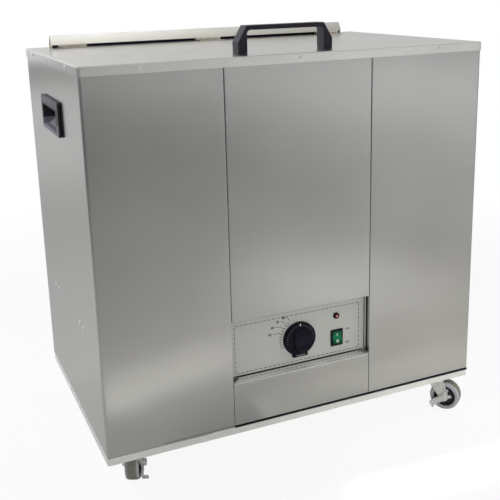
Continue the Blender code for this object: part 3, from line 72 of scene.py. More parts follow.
class Wire:
    # a socket in a node tree: + - * between wires and numbers add Math nodes
    def __init__(self, tree, socket=None):
        self.tree = tree
        self.socket = socket

    def node(self, kind, settings=None, links=None, out=0):
        made = self.tree.nodes.new(kind)
        for key, value in (settings or {}).items():
            setattr(made, key, value)
        for key, value in (links or {}).items():
            if isinstance(value, Wire):
                self.tree.links.new(value.socket, made.inputs[key])
            else:
                made.inputs[key].default_value = value
        return Wire(self.tree, made.outputs[out])

    def math(self, how, *values):
        return self.node("ShaderNodeMath", {"operation": how}, dict(enumerate(values)))

    def __add__(self, other):
        return self.math("ADD", self, other)

    def __radd__(self, other):
        return self.math("ADD", other, self)

    def __sub__(self, other):
        return self.math("SUBTRACT", self, other)

    def __rsub__(self, other):
        return self.math("SUBTRACT", other, self)

    def __mul__(self, other):
        return self.math("MULTIPLY", self, other)

    def __rmul__(self, other):
        return self.math("MULTIPLY", other, self)


def objectSpace(wire, scale=(1.0, 1.0, 1.0), shift=(0.0, 0.0, 0.0)):
    coords = wire.node("ShaderNodeTexCoord", out="Object")
    return wire.node("ShaderNodeMapping", {"vector_type": "POINT"},
                     {"Vector": coords, "Scale": scale, "Location": shift})


def alongAxis(wire, axis):
    return wire.node("ShaderNodeSeparateXYZ", None, {0: objectSpace(wire)}, out=axis)


def noise(wire, vector, scale=1.0, detail=2.0, roughness=0.5):
    return wire.node("ShaderNodeTexNoise", {"noise_dimensions": "3D"},
                     {"Vector": vector, "Scale": scale, "Detail": detail, "Roughness": roughness})


def mixColour(wire, factor, *pair):
    first, second = (colour if isinstance(colour, Wire) else (*colour, 1.0) for colour in pair)
    return wire.node("ShaderNodeMix", {"data_type": "RGBA", "clamp_factor": True},
                     {0: factor, 6: first, 7: second}, out=2)


def between(wire, value, low, high):
    # 0 below low, 1 above high, eased between them
    return wire.node("ShaderNodeMapRange", {"interpolation_type": "SMOOTHSTEP"},
                     {"Value": value, "From Min": low, "From Max": high})


def newFinish(name, sockets):
    material = bpy.data.materials.new(name)
    material.use_nodes = True
    shader = material.node_tree.nodes["Principled BSDF"]
    for key, value in sockets.items():
        shader.inputs[key].default_value = value
    return material, Wire(material.node_tree), shader


def feed(wire, shader, key, value):
    wire.tree.links.new(value.socket, shader.inputs[key])


def feedBump(wire, shader, height, strength, distance):
    bump = wire.node("ShaderNodeBump", None,
                     {"Height": height, "Strength": strength, "Distance": distance})
    feed(wire, shader, "Normal", bump)


# brushed sheet: long streaks along the grain, a little cloudiness, fine scratches as bump
def brushedSteel(name, look):
    material, wire, shader = newFinish(name, {"Metallic": look["metallic"]})

    def streaks(across, along, **texture):
        scale = [across if axis in look["axes"] else along for axis in "xyz"]
        return noise(wire, objectSpace(wire, scale), **texture)

    fine = streaks(look["across"], look["along"], detail=3.0, roughness=0.65)
    wide = streaks(look["across"] * look["wideAcross"], look["along"] * look["wideAlong"])
    cloud = noise(wire, objectSpace(wire), look["cloudScale"], detail=3.0)
    tone = fine * look["fine"] + wide * look["wide"] + cloud * (1.0 - look["fine"] - look["wide"])
    colour = mixColour(wire, between(wire, tone, *look["toneSpan"]), look["dark"], look["light"])
    if "paintedLightPatch" in look:  # painted light and shade: another tone where one coordinate lies past an edge
        paintedLightPatch = look["paintedLightPatch"]
        place = alongAxis(wire, paintedLightPatch["axis"])
        if paintedLightPatch["mirrored"]:
            place = wire.math("ABSOLUTE", place)
        colour = mixColour(wire, between(wire, place, paintedLightPatch["from"], paintedLightPatch["to"]), colour,
                           mixColour(wire, tone, paintedLightPatch["dark"], paintedLightPatch["light"]))
    feed(wire, shader, "Base Color", colour)
    feed(wire, shader, "Roughness",
         look["rough"] + (fine - 0.5) * look["roughGrain"] + (cloud - 0.5) * look["roughCloud"])
    feedBump(wire, shader, fine, look["bump"], look["grainDepth"])
    return material


sheetLook = {"axes": "z", "along": 5.0, "across": 1500.0, "fine": 0.10, "wide": 0.12, "wideAcross": 0.11,
             "wideAlong": 0.5, "cloudScale": 5.0, "toneSpan": (0.30, 0.70), "dark": (0.515, 0.515, 0.51),
             "light": (0.563, 0.563, 0.555), "rough": 0.20, "roughGrain": 0.01, "roughCloud": 0.05,
             "bump": 0.008, "grainDepth": 0.0004, "metallic": 1.0}
# the lid steel is painted lighter than the cabinet sheets for the light on its top and front; past its sides'
# edge it takes the darker side tone as painted shade
lidLook = {**sheetLook, "axes": "yz", "rough": 0.24, "bump": 0.05,
           "dark": (0.76, 0.755, 0.735), "light": (0.84, 0.835, 0.815),
           "paintedLightPatch": {"axis": "X", "mirrored": True, "from": 0.3706, "to": 0.3710,
                     "dark": (0.56, 0.56, 0.55), "light": (0.66, 0.66, 0.65)}}
# base pan: the sheet steel painted brighter and half diffuse, painted light on the base flange
litBaseEdgeLook = {**sheetLook, "metallic": 0.5, "dark": (0.90, 0.90, 0.88), "light": (0.95, 0.95, 0.93)}
# painted highlight: behind the front face the lower panel's upward ledge is much lighter
ledgeLook = {**sheetLook, "paintedLightPatch": {"axis": "Y", "mirrored": False, "from": -0.2331, "to": -0.2326,
                                    "dark": (0.88, 0.88, 0.86), "light": (0.95, 0.95, 0.93)}}
tankLook = {**sheetLook, "cloudScale": 7.0, "dark": (0.56, 0.55, 0.53), "light": (0.66, 0.65, 0.63),
            "rough": 0.22, "bump": 0.05}


# polished strip: nearly mirror bright with soft waves that break up what it reflects
def polishedSteel(name, look):
    material, wire, shader = newFinish(name, {"Metallic": look["metallic"]})
    wave = noise(wire, objectSpace(wire, look["stretch"]))
    haze = noise(wire, objectSpace(wire), look["hazeScale"], detail=4.0)
    colour = mixColour(wire, haze, look["dark"], look["light"])
    if "paintedShadeSpan" in look:  # painted shade: darker and browner toward the lower edge
        colour = mixColour(wire, between(wire, alongAxis(wire, "Z"), *look["paintedShadeSpan"]), look["low"], colour)
    feed(wire, shader, "Base Color", colour)
    feed(wire, shader, "Roughness", look["rough"] + haze * look["roughHaze"])
    feedBump(wire, shader, wave, look["bump"], look["waveDepth"])
    return material


# the rail's low colour is painted shade on its lower edge
railLook = {"stretch": (14.0, 60.0, 60.0), "hazeScale": 30.0, "dark": (0.88, 0.87, 0.83),
            "light": (0.94, 0.93, 0.90), "paintedShadeSpan": (0.7400, 0.7560), "low": (0.78, 0.75, 0.67),
            "metallic": 0.5, "rough": 0.10, "roughHaze": 0.10, "bump": 0.25, "waveDepth": 0.002}
hingeLook = {"stretch": (80.0, 80.0, 80.0), "hazeScale": 90.0, "dark": (0.66, 0.61, 0.53),
             "light": (0.86, 0.82, 0.74), "metallic": 1.0, "rough": 0.16, "roughHaze": 0.10,
             "bump": 0.25, "waveDepth": 0.0006}


# zinc plating: bright, faintly blue and straw blotches, small grain
def zincPlate(name, look):
    material, wire, shader = newFinish(name, {"Metallic": look["metallic"]})
    blotch = noise(wire, objectSpace(wire), look["blotchScale"], detail=3.0)
    grain = noise(wire, objectSpace(wire), look["grainScale"])
    tint = mixColour(wire, between(wire, blotch, *look["blotchSpan"]), look["blue"], look["straw"])
    feed(wire, shader, "Base Color", mixColour(wire, grain * look["dullShare"], tint, look["dull"]))
    feed(wire, shader, "Roughness", look["rough"] + grain * look["roughGrain"])
    feedBump(wire, shader, grain, look["bump"], look["grainDepth"])
    return material


zincLook = {"blotchScale": 45.0, "blotchSpan": (0.35, 0.65), "grainScale": 420.0, "blue": (0.90, 0.92, 0.93),
            "straw": (0.94, 0.92, 0.86), "dull": (0.70, 0.70, 0.70), "dullShare": 0.35, "rough": 0.16,
            "roughGrain": 0.18, "bump": 0.12, "grainDepth": 0.0002, "metallic": 0.5}
nickelLook = {**zincLook, "blue": (0.90, 0.91, 0.92), "straw": (0.93, 0.91, 0.87),
              "dull": (0.85, 0.85, 0.84), "rough": 0.10, "roughGrain": 0.06, "metallic": 1.0}
brassLook = {**zincLook, "blue": (0.62, 0.47, 0.21), "straw": (0.70, 0.52, 0.25),
             "dull": (0.35, 0.25, 0.12), "rough": 0.24, "metallic": 1.0}


# moulded plastic: fine spark-eroded texture, scuffs that lighten and dull it
def mouldedPlastic(name, look):
    material, wire, shader = newFinish(name, {"Specular IOR Level": look["specular"]})
    grain = noise(wire, objectSpace(wire), look["grainScale"])
    scuff = noise(wire, objectSpace(wire), look["scuffScale"], detail=5.0, roughness=0.6)
    worn = between(wire, scuff, *look["wornSpan"])
    colour = mixColour(wire, worn, look["colour"], look["scuff"])
    if "paintedLightBands" in look:  # painted light: paler where the height lies in one of the bands, faded at both edges
        height, depth = alongAxis(wire, "Z"), wire.math("ABSOLUTE", alongAxis(wire, "Y"))
        for low, high, soft, litTone in look["paintedLightBands"]:
            inside = between(wire, height, low - soft, low) * (1.0 - between(wire, height, high, high + soft))
            inside = inside * (1.0 - between(wire, depth, *look["bandEnds"]))
            colour = mixColour(wire, inside, colour, litTone)
    if "flank" in look:  # the sides of a tyre, marked by the mesh, paler than the tread, whose darker tone is painted shade
        sides = wire.node("ShaderNodeAttribute", {"attribute_name": "flank"}, out="Fac")
        colour = mixColour(wire, between(wire, sides, *look["flankSpan"]), colour, look["flank"])
    feed(wire, shader, "Base Color", colour)
    feed(wire, shader, "Roughness", look["rough"] + worn * look["roughScuff"] + grain * look["roughGrain"])
    feedBump(wire, shader, grain, look["bump"], look["grainDepth"])
    return material


blackLook = {"colour": (0.004, 0.004, 0.009), "scuff": (0.009, 0.009, 0.017), "wornSpan": (0.50, 0.78),
             "rough": 0.38, "roughScuff": 0.15, "roughGrain": 0.08, "specular": 0.08, "grainScale": 2600.0,
             "scuffScale": 40.0, "bump": 0.16, "grainDepth": 0.0002}
# the grip's paler bands are painted light on the pocket's top bar and its lower scoop
gripLook = {**blackLook, "colour": (0.012, 0.012, 0.018), "scuff": (0.024, 0.024, 0.034), "rough": 0.42,
            "specular": 0.35, "bandEnds": (0.066, 0.070),
            "paintedLightBands": ((0.6495, 0.6605, 0.0008, (0.085, 0.085, 0.105)),
                      (0.6030, 0.6180, 0.0040, (0.15, 0.15, 0.18)))}
handleLook = {**blackLook, "colour": (0.015, 0.015, 0.028), "scuff": (0.028, 0.028, 0.048), "rough": 0.34,
              "specular": 0.36}
phenolicLook = {**blackLook, "colour": (0.06, 0.045, 0.035), "scuff": (0.10, 0.08, 0.06)}
labelLook = {**blackLook, "colour": (0.465, 0.478, 0.447), "scuff": (0.485, 0.497, 0.468), "rough": 0.52,
             "specular": 0.4, "grainScale": 900.0, "scuffScale": 18.0, "bump": 0.05}
rubberLook = {**blackLook, "rough": 0.62, "roughScuff": 0.2, "specular": 0.3, "grainScale": 900.0,
              "scuffScale": 70.0, "bump": 0.3, "grainDepth": 0.0004}
# the tread's dark olive tone is painted shade, darker than the tyre's sides
tyreLook = {**rubberLook, "colour": (0.25, 0.25, 0.205), "scuff": (0.30, 0.295, 0.26),
            "flank": (0.52, 0.515, 0.55), "flankSpan": (0.50, 0.85)}
rimLook = {**rubberLook, "colour": (0.035, 0.035, 0.04), "scuff": (0.07, 0.07, 0.075), "rough": 0.45,
           "bump": 0.1}
sealLook = {**rubberLook, "colour": (0.42, 0.42, 0.41), "scuff": (0.5, 0.5, 0.49), "rough": 0.6}
inkLook = {**blackLook, "colour": (0.020, 0.020, 0.022), "scuff": (0.045, 0.045, 0.047), "rough": 0.55,
           "scuffScale": 300.0, "bump": 0.0}
whiteLook = {**blackLook, "colour": (0.78, 0.78, 0.76), "scuff": (0.6, 0.6, 0.6), "rough": 0.5,
             "scuffScale": 400.0, "bump": 0.0}
greyMarkLook = {**whiteLook, "colour": (0.16, 0.16, 0.18), "scuff": (0.10, 0.10, 0.11)}


# mineral wool: matted fibres, pale yellow with brown binder
def mineralWool(name, look):
    material, wire, shader = newFinish(name, {"Roughness": look["rough"]})
    fibre = noise(wire, objectSpace(wire, look["stretch"]), detail=5.0, roughness=0.7)
    clump = noise(wire, objectSpace(wire), look["clumpScale"], detail=3.0)
    tone = fibre * look["fibreShare"] + clump * (1.0 - look["fibreShare"])
    feed(wire, shader, "Base Color", mixColour(wire, tone, look["dark"], look["light"]))
    feedBump(wire, shader, fibre, look["bump"], look["fibreDepth"])
    return material


woolLook = {"dark": (0.34, 0.27, 0.14), "light": (0.72, 0.63, 0.40), "rough": 0.95,
            "stretch": (60.0, 60.0, 420.0), "clumpScale": 35.0, "fibreShare": 0.6, "bump": 0.8,
            "fibreDepth": 0.003}


# clear-coated coloured plastic with a bright core, which may glow a little; where it does not glow, the
# bright core is a painted reflection
def lensPlastic(name, look):
    material, wire, shader = newFinish(name, {
        "Roughness": look["rough"], "Specular IOR Level": look["specular"], "Coat Weight": look["coat"],
        "Coat Roughness": look["coatRough"], "Emission Strength": look["glow"]})
    middle = objectSpace(wire, shift=[-value for value in look["centre"]])
    far = wire.node("ShaderNodeVectorMath", {"operation": "LENGTH"}, {0: middle}, out="Value")
    speck = noise(wire, objectSpace(wire), look["speckScale"])
    reach = look["reach"]
    core = 1.0 - between(wire, far + (speck - 0.5) * reach * look["ragged"], reach * look["full"], reach)
    tone = mixColour(wire, core, look["edge"], look["core"])
    feed(wire, shader, "Base Color", tone)
    feed(wire, shader, "Emission Color", tone)
    return material


def centreOf(node):
    low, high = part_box(node)
    return (low + high) / 2


greenLook = {"rough": 0.25, "specular": 0.25, "coat": 0.2, "coatRough": 0.08, "glow": 0.12, "reach": 0.015,
             "ragged": 0.4, "full": 0.2, "speckScale": 500.0, "edge": (0.0, 0.035, 0.02),
             "core": (0.0, 0.16, 0.06), "centre": centreOf("rocker")}
# the red lens does not glow: its pale pink core is a painted reflection on the dark red lens
redLook = {**greenLook, "rough": 0.15, "glow": 0.0, "reach": 0.0036, "speckScale": 700.0,
           "edge": (0.04, 0.003, 0.003), "core": (0.66, 0.27, 0.25),
           "centre": centreOf("pilot_lens") + Vector((0.0, -0.002, 0.0))}

finishes = {
    "sheet": brushedSteel("brushed sheet", sheetLook),
    "lid": brushedSteel("lid sheet", lidLook),
    "edge": brushedSteel("base edge", litBaseEdgeLook),
    "ledge": brushedSteel("ledge sheet", ledgeLook),
    "tank": brushedSteel("tank sheet", tankLook),
    "rail": polishedSteel("polished rail", railLook),
    "hinge": polishedSteel("hinge steel", hingeLook),
    "zinc": zincPlate("zinc plate", zincLook),
    "nickel": zincPlate("nickel", nickelLook),
    "brass": zincPlate("brass", brassLook),
    "black": mouldedPlastic("black plastic", blackLook),
    "grip": mouldedPlastic("grip plastic", gripLook),
    "handle": mouldedPlastic("handle plastic", handleLook),
    "phenolic": mouldedPlastic("phenolic", phenolicLook),
    "label": mouldedPlastic("printed label", labelLook),
    "tread": mouldedPlastic("wheel tread", tyreLook),
    "rim": mouldedPlastic("wheel core", rimLook),
    "seal": mouldedPlastic("silicone seal", sealLook),
    "ink": mouldedPlastic("label ink", inkLook),
    "white": mouldedPlastic("white mark", whiteLook),
    "greyMark": mouldedPlastic("grey mark", greyMarkLook),
    "wool": mineralWool("mineral wool", woolLook),
    "green": lensPlastic("green rocker", greenLook),
    "red": lensPlastic("red lens", redLook),
}
print("finishes made:", len(finishes))

# which finish each CAD piece wears
wears = {
    "sheet": ["left_side_panel", "right_side_panel", "upper_front_panel", "back_panel", "base_frame"],
    "edge": ["base_pan"],
    "ledge": ["lower_front_panel"],
    "lid": ["lid_skin", "rear_deck", "lid_liner"],
    "tank": ["tank", "element_guard", "left_divider", "middle_divider", "right_divider"],
    "rail": ["hinge_rail"],
    "hinge": [label + kind for label in hinges for kind in ("_fixed_leaf", "_lid_leaf", "_hinge_pin")],
    "zinc": ["left_tank_support", "right_tank_support", "heating_element", "control_box", "thermostat_shaft",
             "front_left_brake_lever", "front_right_brake_lever"]
            + [corner + kind for corner in corners for kind in ("_caster_plate", "_fork")],
    "brass": ["drain_pipe", "thermostat_bulb"],
    "black": ["dial_knob", "switch_housing", "pilot_lamp", "cable_gland"],
    "grip": ["left_grip", "right_grip"],
    "handle": ["lid_handle"],
    "label": ["control_plate"],
    "tread": [corner + "_wheel" for corner in corners],
    "wool": ["tank_insulation", "lid_insulation"],
    "seal": ["tank_gasket"],
    "green": ["rocker"],
    "red": ["pilot_lens"],
    "phenolic": ["thermostat"],
}
edges = {"weld": 0.00001, "crease": 32.0}
for finish, names in wears.items():
    for name in names:
        mesh = nodes[name].data
        mesh.materials.clear()
        mesh.materials.append(finishes[finish])
        weld = nodes[name].modifiers.new("weld", "WELD")
        weld.merge_threshold = edges["weld"]
        split = nodes[name].modifiers.new("creases", "EDGE_SPLIT")
        split.split_angle = math.radians(edges["crease"])
bare = set(nodes) - {name for names in wears.values() for name in names}
print("CAD pieces dressed:", len(nodes) - len(bare), "left plain:", sorted(bare))


# quads of a grid of rows by columns points, its columns a closed ring, its rows closed or open
def gridFaces(rows, columns, closeRows=False):
    row = np.arange(rows if closeRows else rows - 1)[:, None]
    column = np.arange(columns)[None, :]
    nextRow, nextColumn = (row + 1) % rows, (column + 1) % columns
    quads = np.stack([row * columns + column, row * columns + nextColumn,
                      nextRow * columns + nextColumn, nextRow * columns + column], axis=-1)
    return quads.reshape(-1, 4)


# several point and face arrays as one pair
def stacked(shapes):
    points, faces, count = [], [], 0
    for shapePoints, shapeFaces in shapes:
        points.append(shapePoints)
        faces.extend((np.asarray(face) + count).tolist() for face in shapeFaces)
        count += len(shapePoints)
    return np.concatenate(points), faces


# a mesh with doubled points merged, normals outwards and sharp edges, riding on a body
def makePiece(name, shape, finish, body, crease=35.0, doubles=1e-7):
    points, faces = shape
    mesh = bpy.data.meshes.new(name)
    mesh.from_pydata(np.asarray(points, float).tolist(), [], [list(map(int, face)) for face in faces])
    work = bmesh.new()
    work.from_mesh(mesh)
    bmesh.ops.remove_doubles(work, verts=work.verts, dist=doubles)
    bmesh.ops.recalc_face_normals(work, faces=work.faces)
    work.to_mesh(mesh)
    work.free()
    mesh.polygons.foreach_set("use_smooth", np.ones(len(mesh.polygons), bool))
    mesh.set_sharp_from_angle(angle=math.radians(crease))
    mesh.materials.append(finishes[finish])
    piece = bpy.data.objects.new(name, mesh)
    bpy.context.scene.collection.objects.link(piece)
    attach(piece, body)
    return piece


# points of a local frame: origin plus three directions times the local x, y and z
def setAt(points, origin, right, up, out):
    return np.asarray(origin, float) + points @ np.array([right, up, out], float)


# a shape drawn in x and z, standing up from a plane that faces the front
def onFront(shape, origin):
    points, faces = shape
    return setAt(points, origin, (1, 0, 0), (0, 0, 1), (0, -1, 0)), faces


# profile of (radius, height) turned round the local z; ends on the axis close by themselves
def turned(profile, sides):
    profile = np.asarray(profile, float)
    angle = np.linspace(0.0, 2.0 * np.pi, sides, endpoint=False)
    radius, height = profile[:, :1], profile[:, 1:]
    points = np.stack([radius * np.cos(angle), radius * np.sin(angle),
                       np.broadcast_to(height, (len(profile), sides))], axis=-1)
    return points.reshape(-1, 3), gridFaces(len(profile), sides)


# flat bar: a box of given half sizes, as eight points and six faces
def bar(halfX, halfY, low, high):
    corner = np.array([(-1, -1), (1, -1), (1, 1), (-1, 1)], float) * (halfX, halfY)
    points = np.concatenate([np.c_[corner, np.full(4, low)], np.c_[corner, np.full(4, high)]])
    faces = [(3, 2, 1, 0), (4, 5, 6, 7), (0, 1, 5, 4), (1, 2, 6, 5), (2, 3, 7, 6), (3, 0, 4, 7)]
    return points, faces


# screw head: a dome of revolution, r and angle on a polar grid, less a cross-shaped dip in its middle
screwLook = {"radius": 0.0040, "height": 0.0019, "rim": 0.35, "bulge": 0.96, "slot": 0.16, "slotFlank": 1.7,
             "slotLength": 0.62, "slotEnd": 5.0, "slotDepth": 0.0012, "rings": 10, "sectors": 40,
             "sunk": 0.0002}


def screwHead(look):
    ring = np.linspace(0.0, 1.0, look["rings"])[:, None]
    angle = np.linspace(0.0, 2.0 * np.pi, look["sectors"], endpoint=False)[None, :]
    x, y = ring * np.cos(angle), ring * np.sin(angle)
    thin, long = np.minimum(abs(x), abs(y)), np.maximum(abs(x), abs(y))
    dip = np.clip((look["slot"] * look["slotFlank"] - thin) / look["slot"], 0.0, 1.0)
    dip = dip * np.clip((look["slotLength"] - long) * look["slotEnd"], 0.0, 1.0)
    dome = np.sqrt(np.clip(1.0 - ring ** 2 * look["bulge"], 0.0, 1.0))
    z = look["height"] * (look["rim"] + (1.0 - look["rim"]) * dome) - look["slotDepth"] * dip
    top = np.stack([x * look["radius"], y * look["radius"], np.broadcast_to(z, x.shape)], axis=-1)
    foot = top[-1:].copy()
    foot[..., 2] = -look["sunk"]
    middle = foot * np.array([0.0, 0.0, 1.0])
    points = np.concatenate([top, foot, middle])
    return points.reshape(-1, 3), gridFaces(len(points), look["sectors"])


# rivet head: a low dome of revolution with a small dimple where its stem broke off
rivetLook = {"radius": 0.0036, "height": 0.0016, "dimple": 0.0009, "dimpleFloor": 0.8, "dimpleLevel": 0.6,
             "dome": ((0.55, 0.93), (0.8, 0.72), (0.95, 0.4), (1.0, 0.0)), "sectors": 20, "sunk": 0.0002}


def rivetHead(look):
    radius, height, dimple = look["radius"], look["height"], look["dimple"]
    floorLevel = height * look["dimpleLevel"]
    profile = [(0.0, floorLevel), (dimple * look["dimpleFloor"], floorLevel), (dimple, height)]
    profile += [(radius * out, height * rise) for out, rise in look["dome"]]
    profile += [(radius, -look["sunk"]), (0.0, -look["sunk"])]
    return turned(profile, look["sectors"])


# the same head at many places, each place an origin and the way it faces
def heads(head, places):
    points, faces = head
    shapes = []
    for origin, out in places:
        out = np.array(out, float)
        right = np.cross((0.0, 1.0, 0.0) if abs(out[2]) > 0.5 else (0.0, 0.0, 1.0), out)
        up = np.cross(out, right)
        shapes.append((setAt(points, origin, right, up, out), faces))
    return stacked(shapes)


lidBox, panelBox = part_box("lid_skin"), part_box("right_side_panel")
front, back = lidBox[0].y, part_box("back_panel")[1].y
lidSide, side = lidBox[1].x, panelBox[1].x
lidTop = lidBox[1].z
fasteners = {"frontScrewX": (-0.278, 0.0, 0.278), "frontScrewDrop": 0.008, "lidRivetY": (-0.150, 0.150),
             "lidRivetDrop": 0.007, "sideRivetY": (-0.1225, -0.0935, 0.0935, 0.1225), "sideRivetZ": 0.276,
             "backScrewZ": (0.125, 0.270, 0.415, 0.560, 0.695), "backScrewInset": 0.013,
             "hingeScrewX": (-0.018, 0.0, 0.018), "hingeScrewBack": 0.0165, "leafThick": 0.0012,
             "casterBolt": 0.0195, "plateThick": 0.003}
screw, rivet = screwHead(screwLook), rivetHead(rivetLook)
frontScrewZ, lidRivetZ = lidTop - fasteners["frontScrewDrop"], lidTop - fasteners["lidRivetDrop"]
backScrewX = side - fasteners["backScrewInset"]
placed = {
    "lid_screws": (screw, "nickel", "lid",
                   [((x, front, frontScrewZ), (0, -1, 0)) for x in fasteners["frontScrewX"]]),
    "lid_rivets": (rivet, "nickel", "lid",
                   [((way * lidSide, y, lidRivetZ), (way, 0, 0))
                    for way in bothWays for y in fasteners["lidRivetY"]]),
    "side_rivets": (rivet, "nickel", "cabinet",
                    [((way * side, y, fasteners["sideRivetZ"]), (way, 0, 0))
                     for way in bothWays for y in fasteners["sideRivetY"]]),
    "back_screws": (screw, "zinc", "cabinet",
                    [((way * backScrewX, back, z), (0, 1, 0))
                     for way in bothWays for z in fasteners["backScrewZ"]]),
}
for name, (head, finish, body, places) in placed.items():
    makePiece(name, heads(head, places), finish, body)

hingeScrewLook = {**screwLook, "radius": 0.0032, "height": 0.0007, "slotDepth": 0.0006}
leafScrewY = joints["lid_hinge"]["pos_m"][1] - fasteners["hingeScrewBack"]
leafPlaces = []
for label in hinges:
    low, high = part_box(label + "_lid_leaf")
    leafPlaces += [(((low.x + high.x) / 2 + x, leafScrewY, low.z + fasteners["leafThick"]), (0, 0, 1))
                   for x in fasteners["hingeScrewX"]]
makePiece("hinge_screws", heads(screwHead(hingeScrewLook), leafPlaces), "hinge", "lid")

# hexagon bolt heads: a six-sided profile with a small bevelled top
boltLook = {"radius": 0.0052, "height": 0.0032, "bevel": 0.0008, "sunk": 0.0002, "sides": 6}
boltProfile = [(0.0, boltLook["height"]), (boltLook["radius"] - boltLook["bevel"], boltLook["height"]),
               (boltLook["radius"], boltLook["height"] - boltLook["bevel"]),
               (boltLook["radius"], -boltLook["sunk"]), (0.0, -boltLook["sunk"])]
boltPlaces = []
for corner in corners:
    low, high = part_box(corner + "_caster_plate")
    middle, plateLow, reach = (low + high) / 2, high.z - fasteners["plateThick"], fasteners["casterBolt"]
    boltPlaces += [((middle.x + x * reach, middle.y + y * reach, plateLow), (0, 0, -1))
                   for x in bothWays for y in bothWays]
boltHead = turned(boltProfile, boltLook["sides"])
makePiece("caster_bolts", heads(boltHead, boltPlaces), "zinc", "cabinet")
print("fasteners placed")


# wheels: a rounded tyre section and a core section, each a closed profile carried round the axle
wheelLook = {"tyreInner": 0.0215, "halfWidth": 0.0124, "shoulder": 0.0044, "shoulderPoints": 7,
             "crown": 0.0004, "crownShare": 0.8, "crownPoints": 5, "beadInset": 0.0006,
             "boreRadius": 0.0043, "hubRadius": 0.0095, "hubHalf": 0.0128, "hubBevel": 0.0008,
             "hubTaper": 0.0006, "hubFoot": 0.0018, "webHalf": 0.0050, "webFillet": 0.0012,
             "lipRadius": 0.0188, "lipHalf": 0.0097, "lipFoot": 0.0016, "lipTaper": 0.0005,
             "tyreOverlap": 0.0002, "sides": 96}


# round shoulders and a nearly flat crown: (radius, place along the axle)
def tyreSection(look, outer):
    half, shoulder = look["halfWidth"], look["shoulder"]
    share, count = look["crownShare"], look["crownPoints"]
    turn = np.linspace(0.0, np.pi / 2.0, look["shoulderPoints"])
    right = np.c_[outer - look["crown"] - shoulder * (1 - np.sin(turn)),
                  half - shoulder + shoulder * np.cos(turn)]
    crown = np.c_[np.full(count, outer) - look["crown"] * np.linspace(-share, share, count) ** 2,
                  np.linspace(half - shoulder, shoulder - half, count) * share]
    left = right[::-1] * (1.0, -1.0)
    edgeHighlight = half - look["beadInset"]
    inner = np.array([(look["tyreInner"], -edgeHighlight), (look["tyreInner"], edgeHighlight)])
    return np.concatenate([right, crown, left, inner])


# hub, web and lip of one half, then the same mirrored
def coreSection(look):
    web, hub, lip = look["webHalf"], look["hubHalf"], look["lipHalf"]
    hubRadius, lipRadius, fillet = look["hubRadius"], look["lipRadius"], look["webFillet"]
    upper = np.array([(look["boreRadius"], hub), (hubRadius - look["hubBevel"], hub),
                      (hubRadius, hub - look["hubBevel"]), (hubRadius + look["hubTaper"], web + fillet),
                      (hubRadius + look["hubFoot"], web), (lipRadius - look["lipFoot"], web),
                      (lipRadius, web + fillet), (lipRadius + look["lipTaper"], lip),
                      (look["tyreInner"] + look["tyreOverlap"], lip)])
    return np.concatenate([upper, upper[::-1] * (1.0, -1.0)])


# closed (radius, height) section carried round an axis: angle by section point
def ringAbout(section, sides, hub, axis):
    axis = np.array(axis, float) / np.linalg.norm(axis)
    right = np.cross(axis, (0.0, 0.0, 1.0))
    right /= np.linalg.norm(right)
    up = np.cross(right, axis)
    angle = np.linspace(0.0, 2.0 * np.pi, sides, endpoint=False)[:, None]
    spoke = np.cos(angle)[..., None] * right + np.sin(angle)[..., None] * up
    points = np.asarray(hub, float) + section[None, :, :1] * spoke + section[None, :, 1:] * axis
    return points.reshape(-1, 3), gridFaces(sides, len(section), closeRows=True)


for corner in corners:
    wheel = corner + "_wheel"
    hub, axis = joints[wheel + "_roll"]["pos_m"], joints[wheel + "_roll"]["axis"]
    tyreRing, coreRing = (ringAbout(section, wheelLook["sides"], hub, axis)
                          for section in (tyreSection(wheelLook, hub[2]), coreSection(wheelLook)))
    tyre = makePiece(corner + "_tyre", tyreRing, "tread", wheel)
    places = np.array([v.co for v in tyre.data.vertices]) - np.array(hub)
    flank = tyre.data.attributes.new("flank", "FLOAT", "POINT")
    flank.data.foreach_set("value", abs(places @ np.array(axis)) / wheelLook["halfWidth"])
    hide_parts(corner + "_wheel")
    makePiece(wheel + "_core", coreRing, "rim", wheel)
print("wheels made")


# strips in the slot over the base sheet: a small rectangle carried along a path of corners, closed at both
# ends; black strips of painted shade under the middle and right sheets, a folded steel edge under the left
# one, with a painted shade line along its top and a bright strip of painted highlight on the base sheet's
# folded edge
panHigh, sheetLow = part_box("base_pan")[1].z, panelBox[0].z
slotLook = {"outerX": 0.3692, "innerX": 0.3687, "outerY": 0.2327, "innerFront": 0.2300, "innerBack": 0.2309,
            "clear": 0.0001, "seam": -0.138, "lipX": (0.3699, 0.3696), "lipY": (0.2334, 0.23305),
            "lipLow": -0.0011, "lipHigh": 0.0002, "lineFrom": -0.27, "lineY": (0.2330, 0.2328),
            "lineLow": -0.0011, "edgeHighlightTo": -0.18, "crease": 20.0}


def slotStrip(outer, inner, low, high):
    low, high = np.full((len(outer), 1), low), np.full((len(outer), 1), high)
    rows = [np.hstack(pair) for pair in ((outer, low), (outer, high), (inner, high), (inner, low))]
    last = 4 * len(outer) - 4
    ends = [[3, 2, 1, 0], [last, last + 1, last + 2, last + 3]]
    return np.stack(rows, axis=1).reshape(-1, 3), gridFaces(len(outer), 4).tolist() + ends


# the slot's outer and inner edge at corners given by their signs
def slotPath(look, signs):
    signs = np.array(signs, float)
    outer = signs * (look["outerX"], look["outerY"])
    inner = np.c_[signs[:, 0] * look["innerX"],
                  np.where(signs[:, 1] < 0, -look["innerFront"], look["innerBack"])]
    return outer, inner


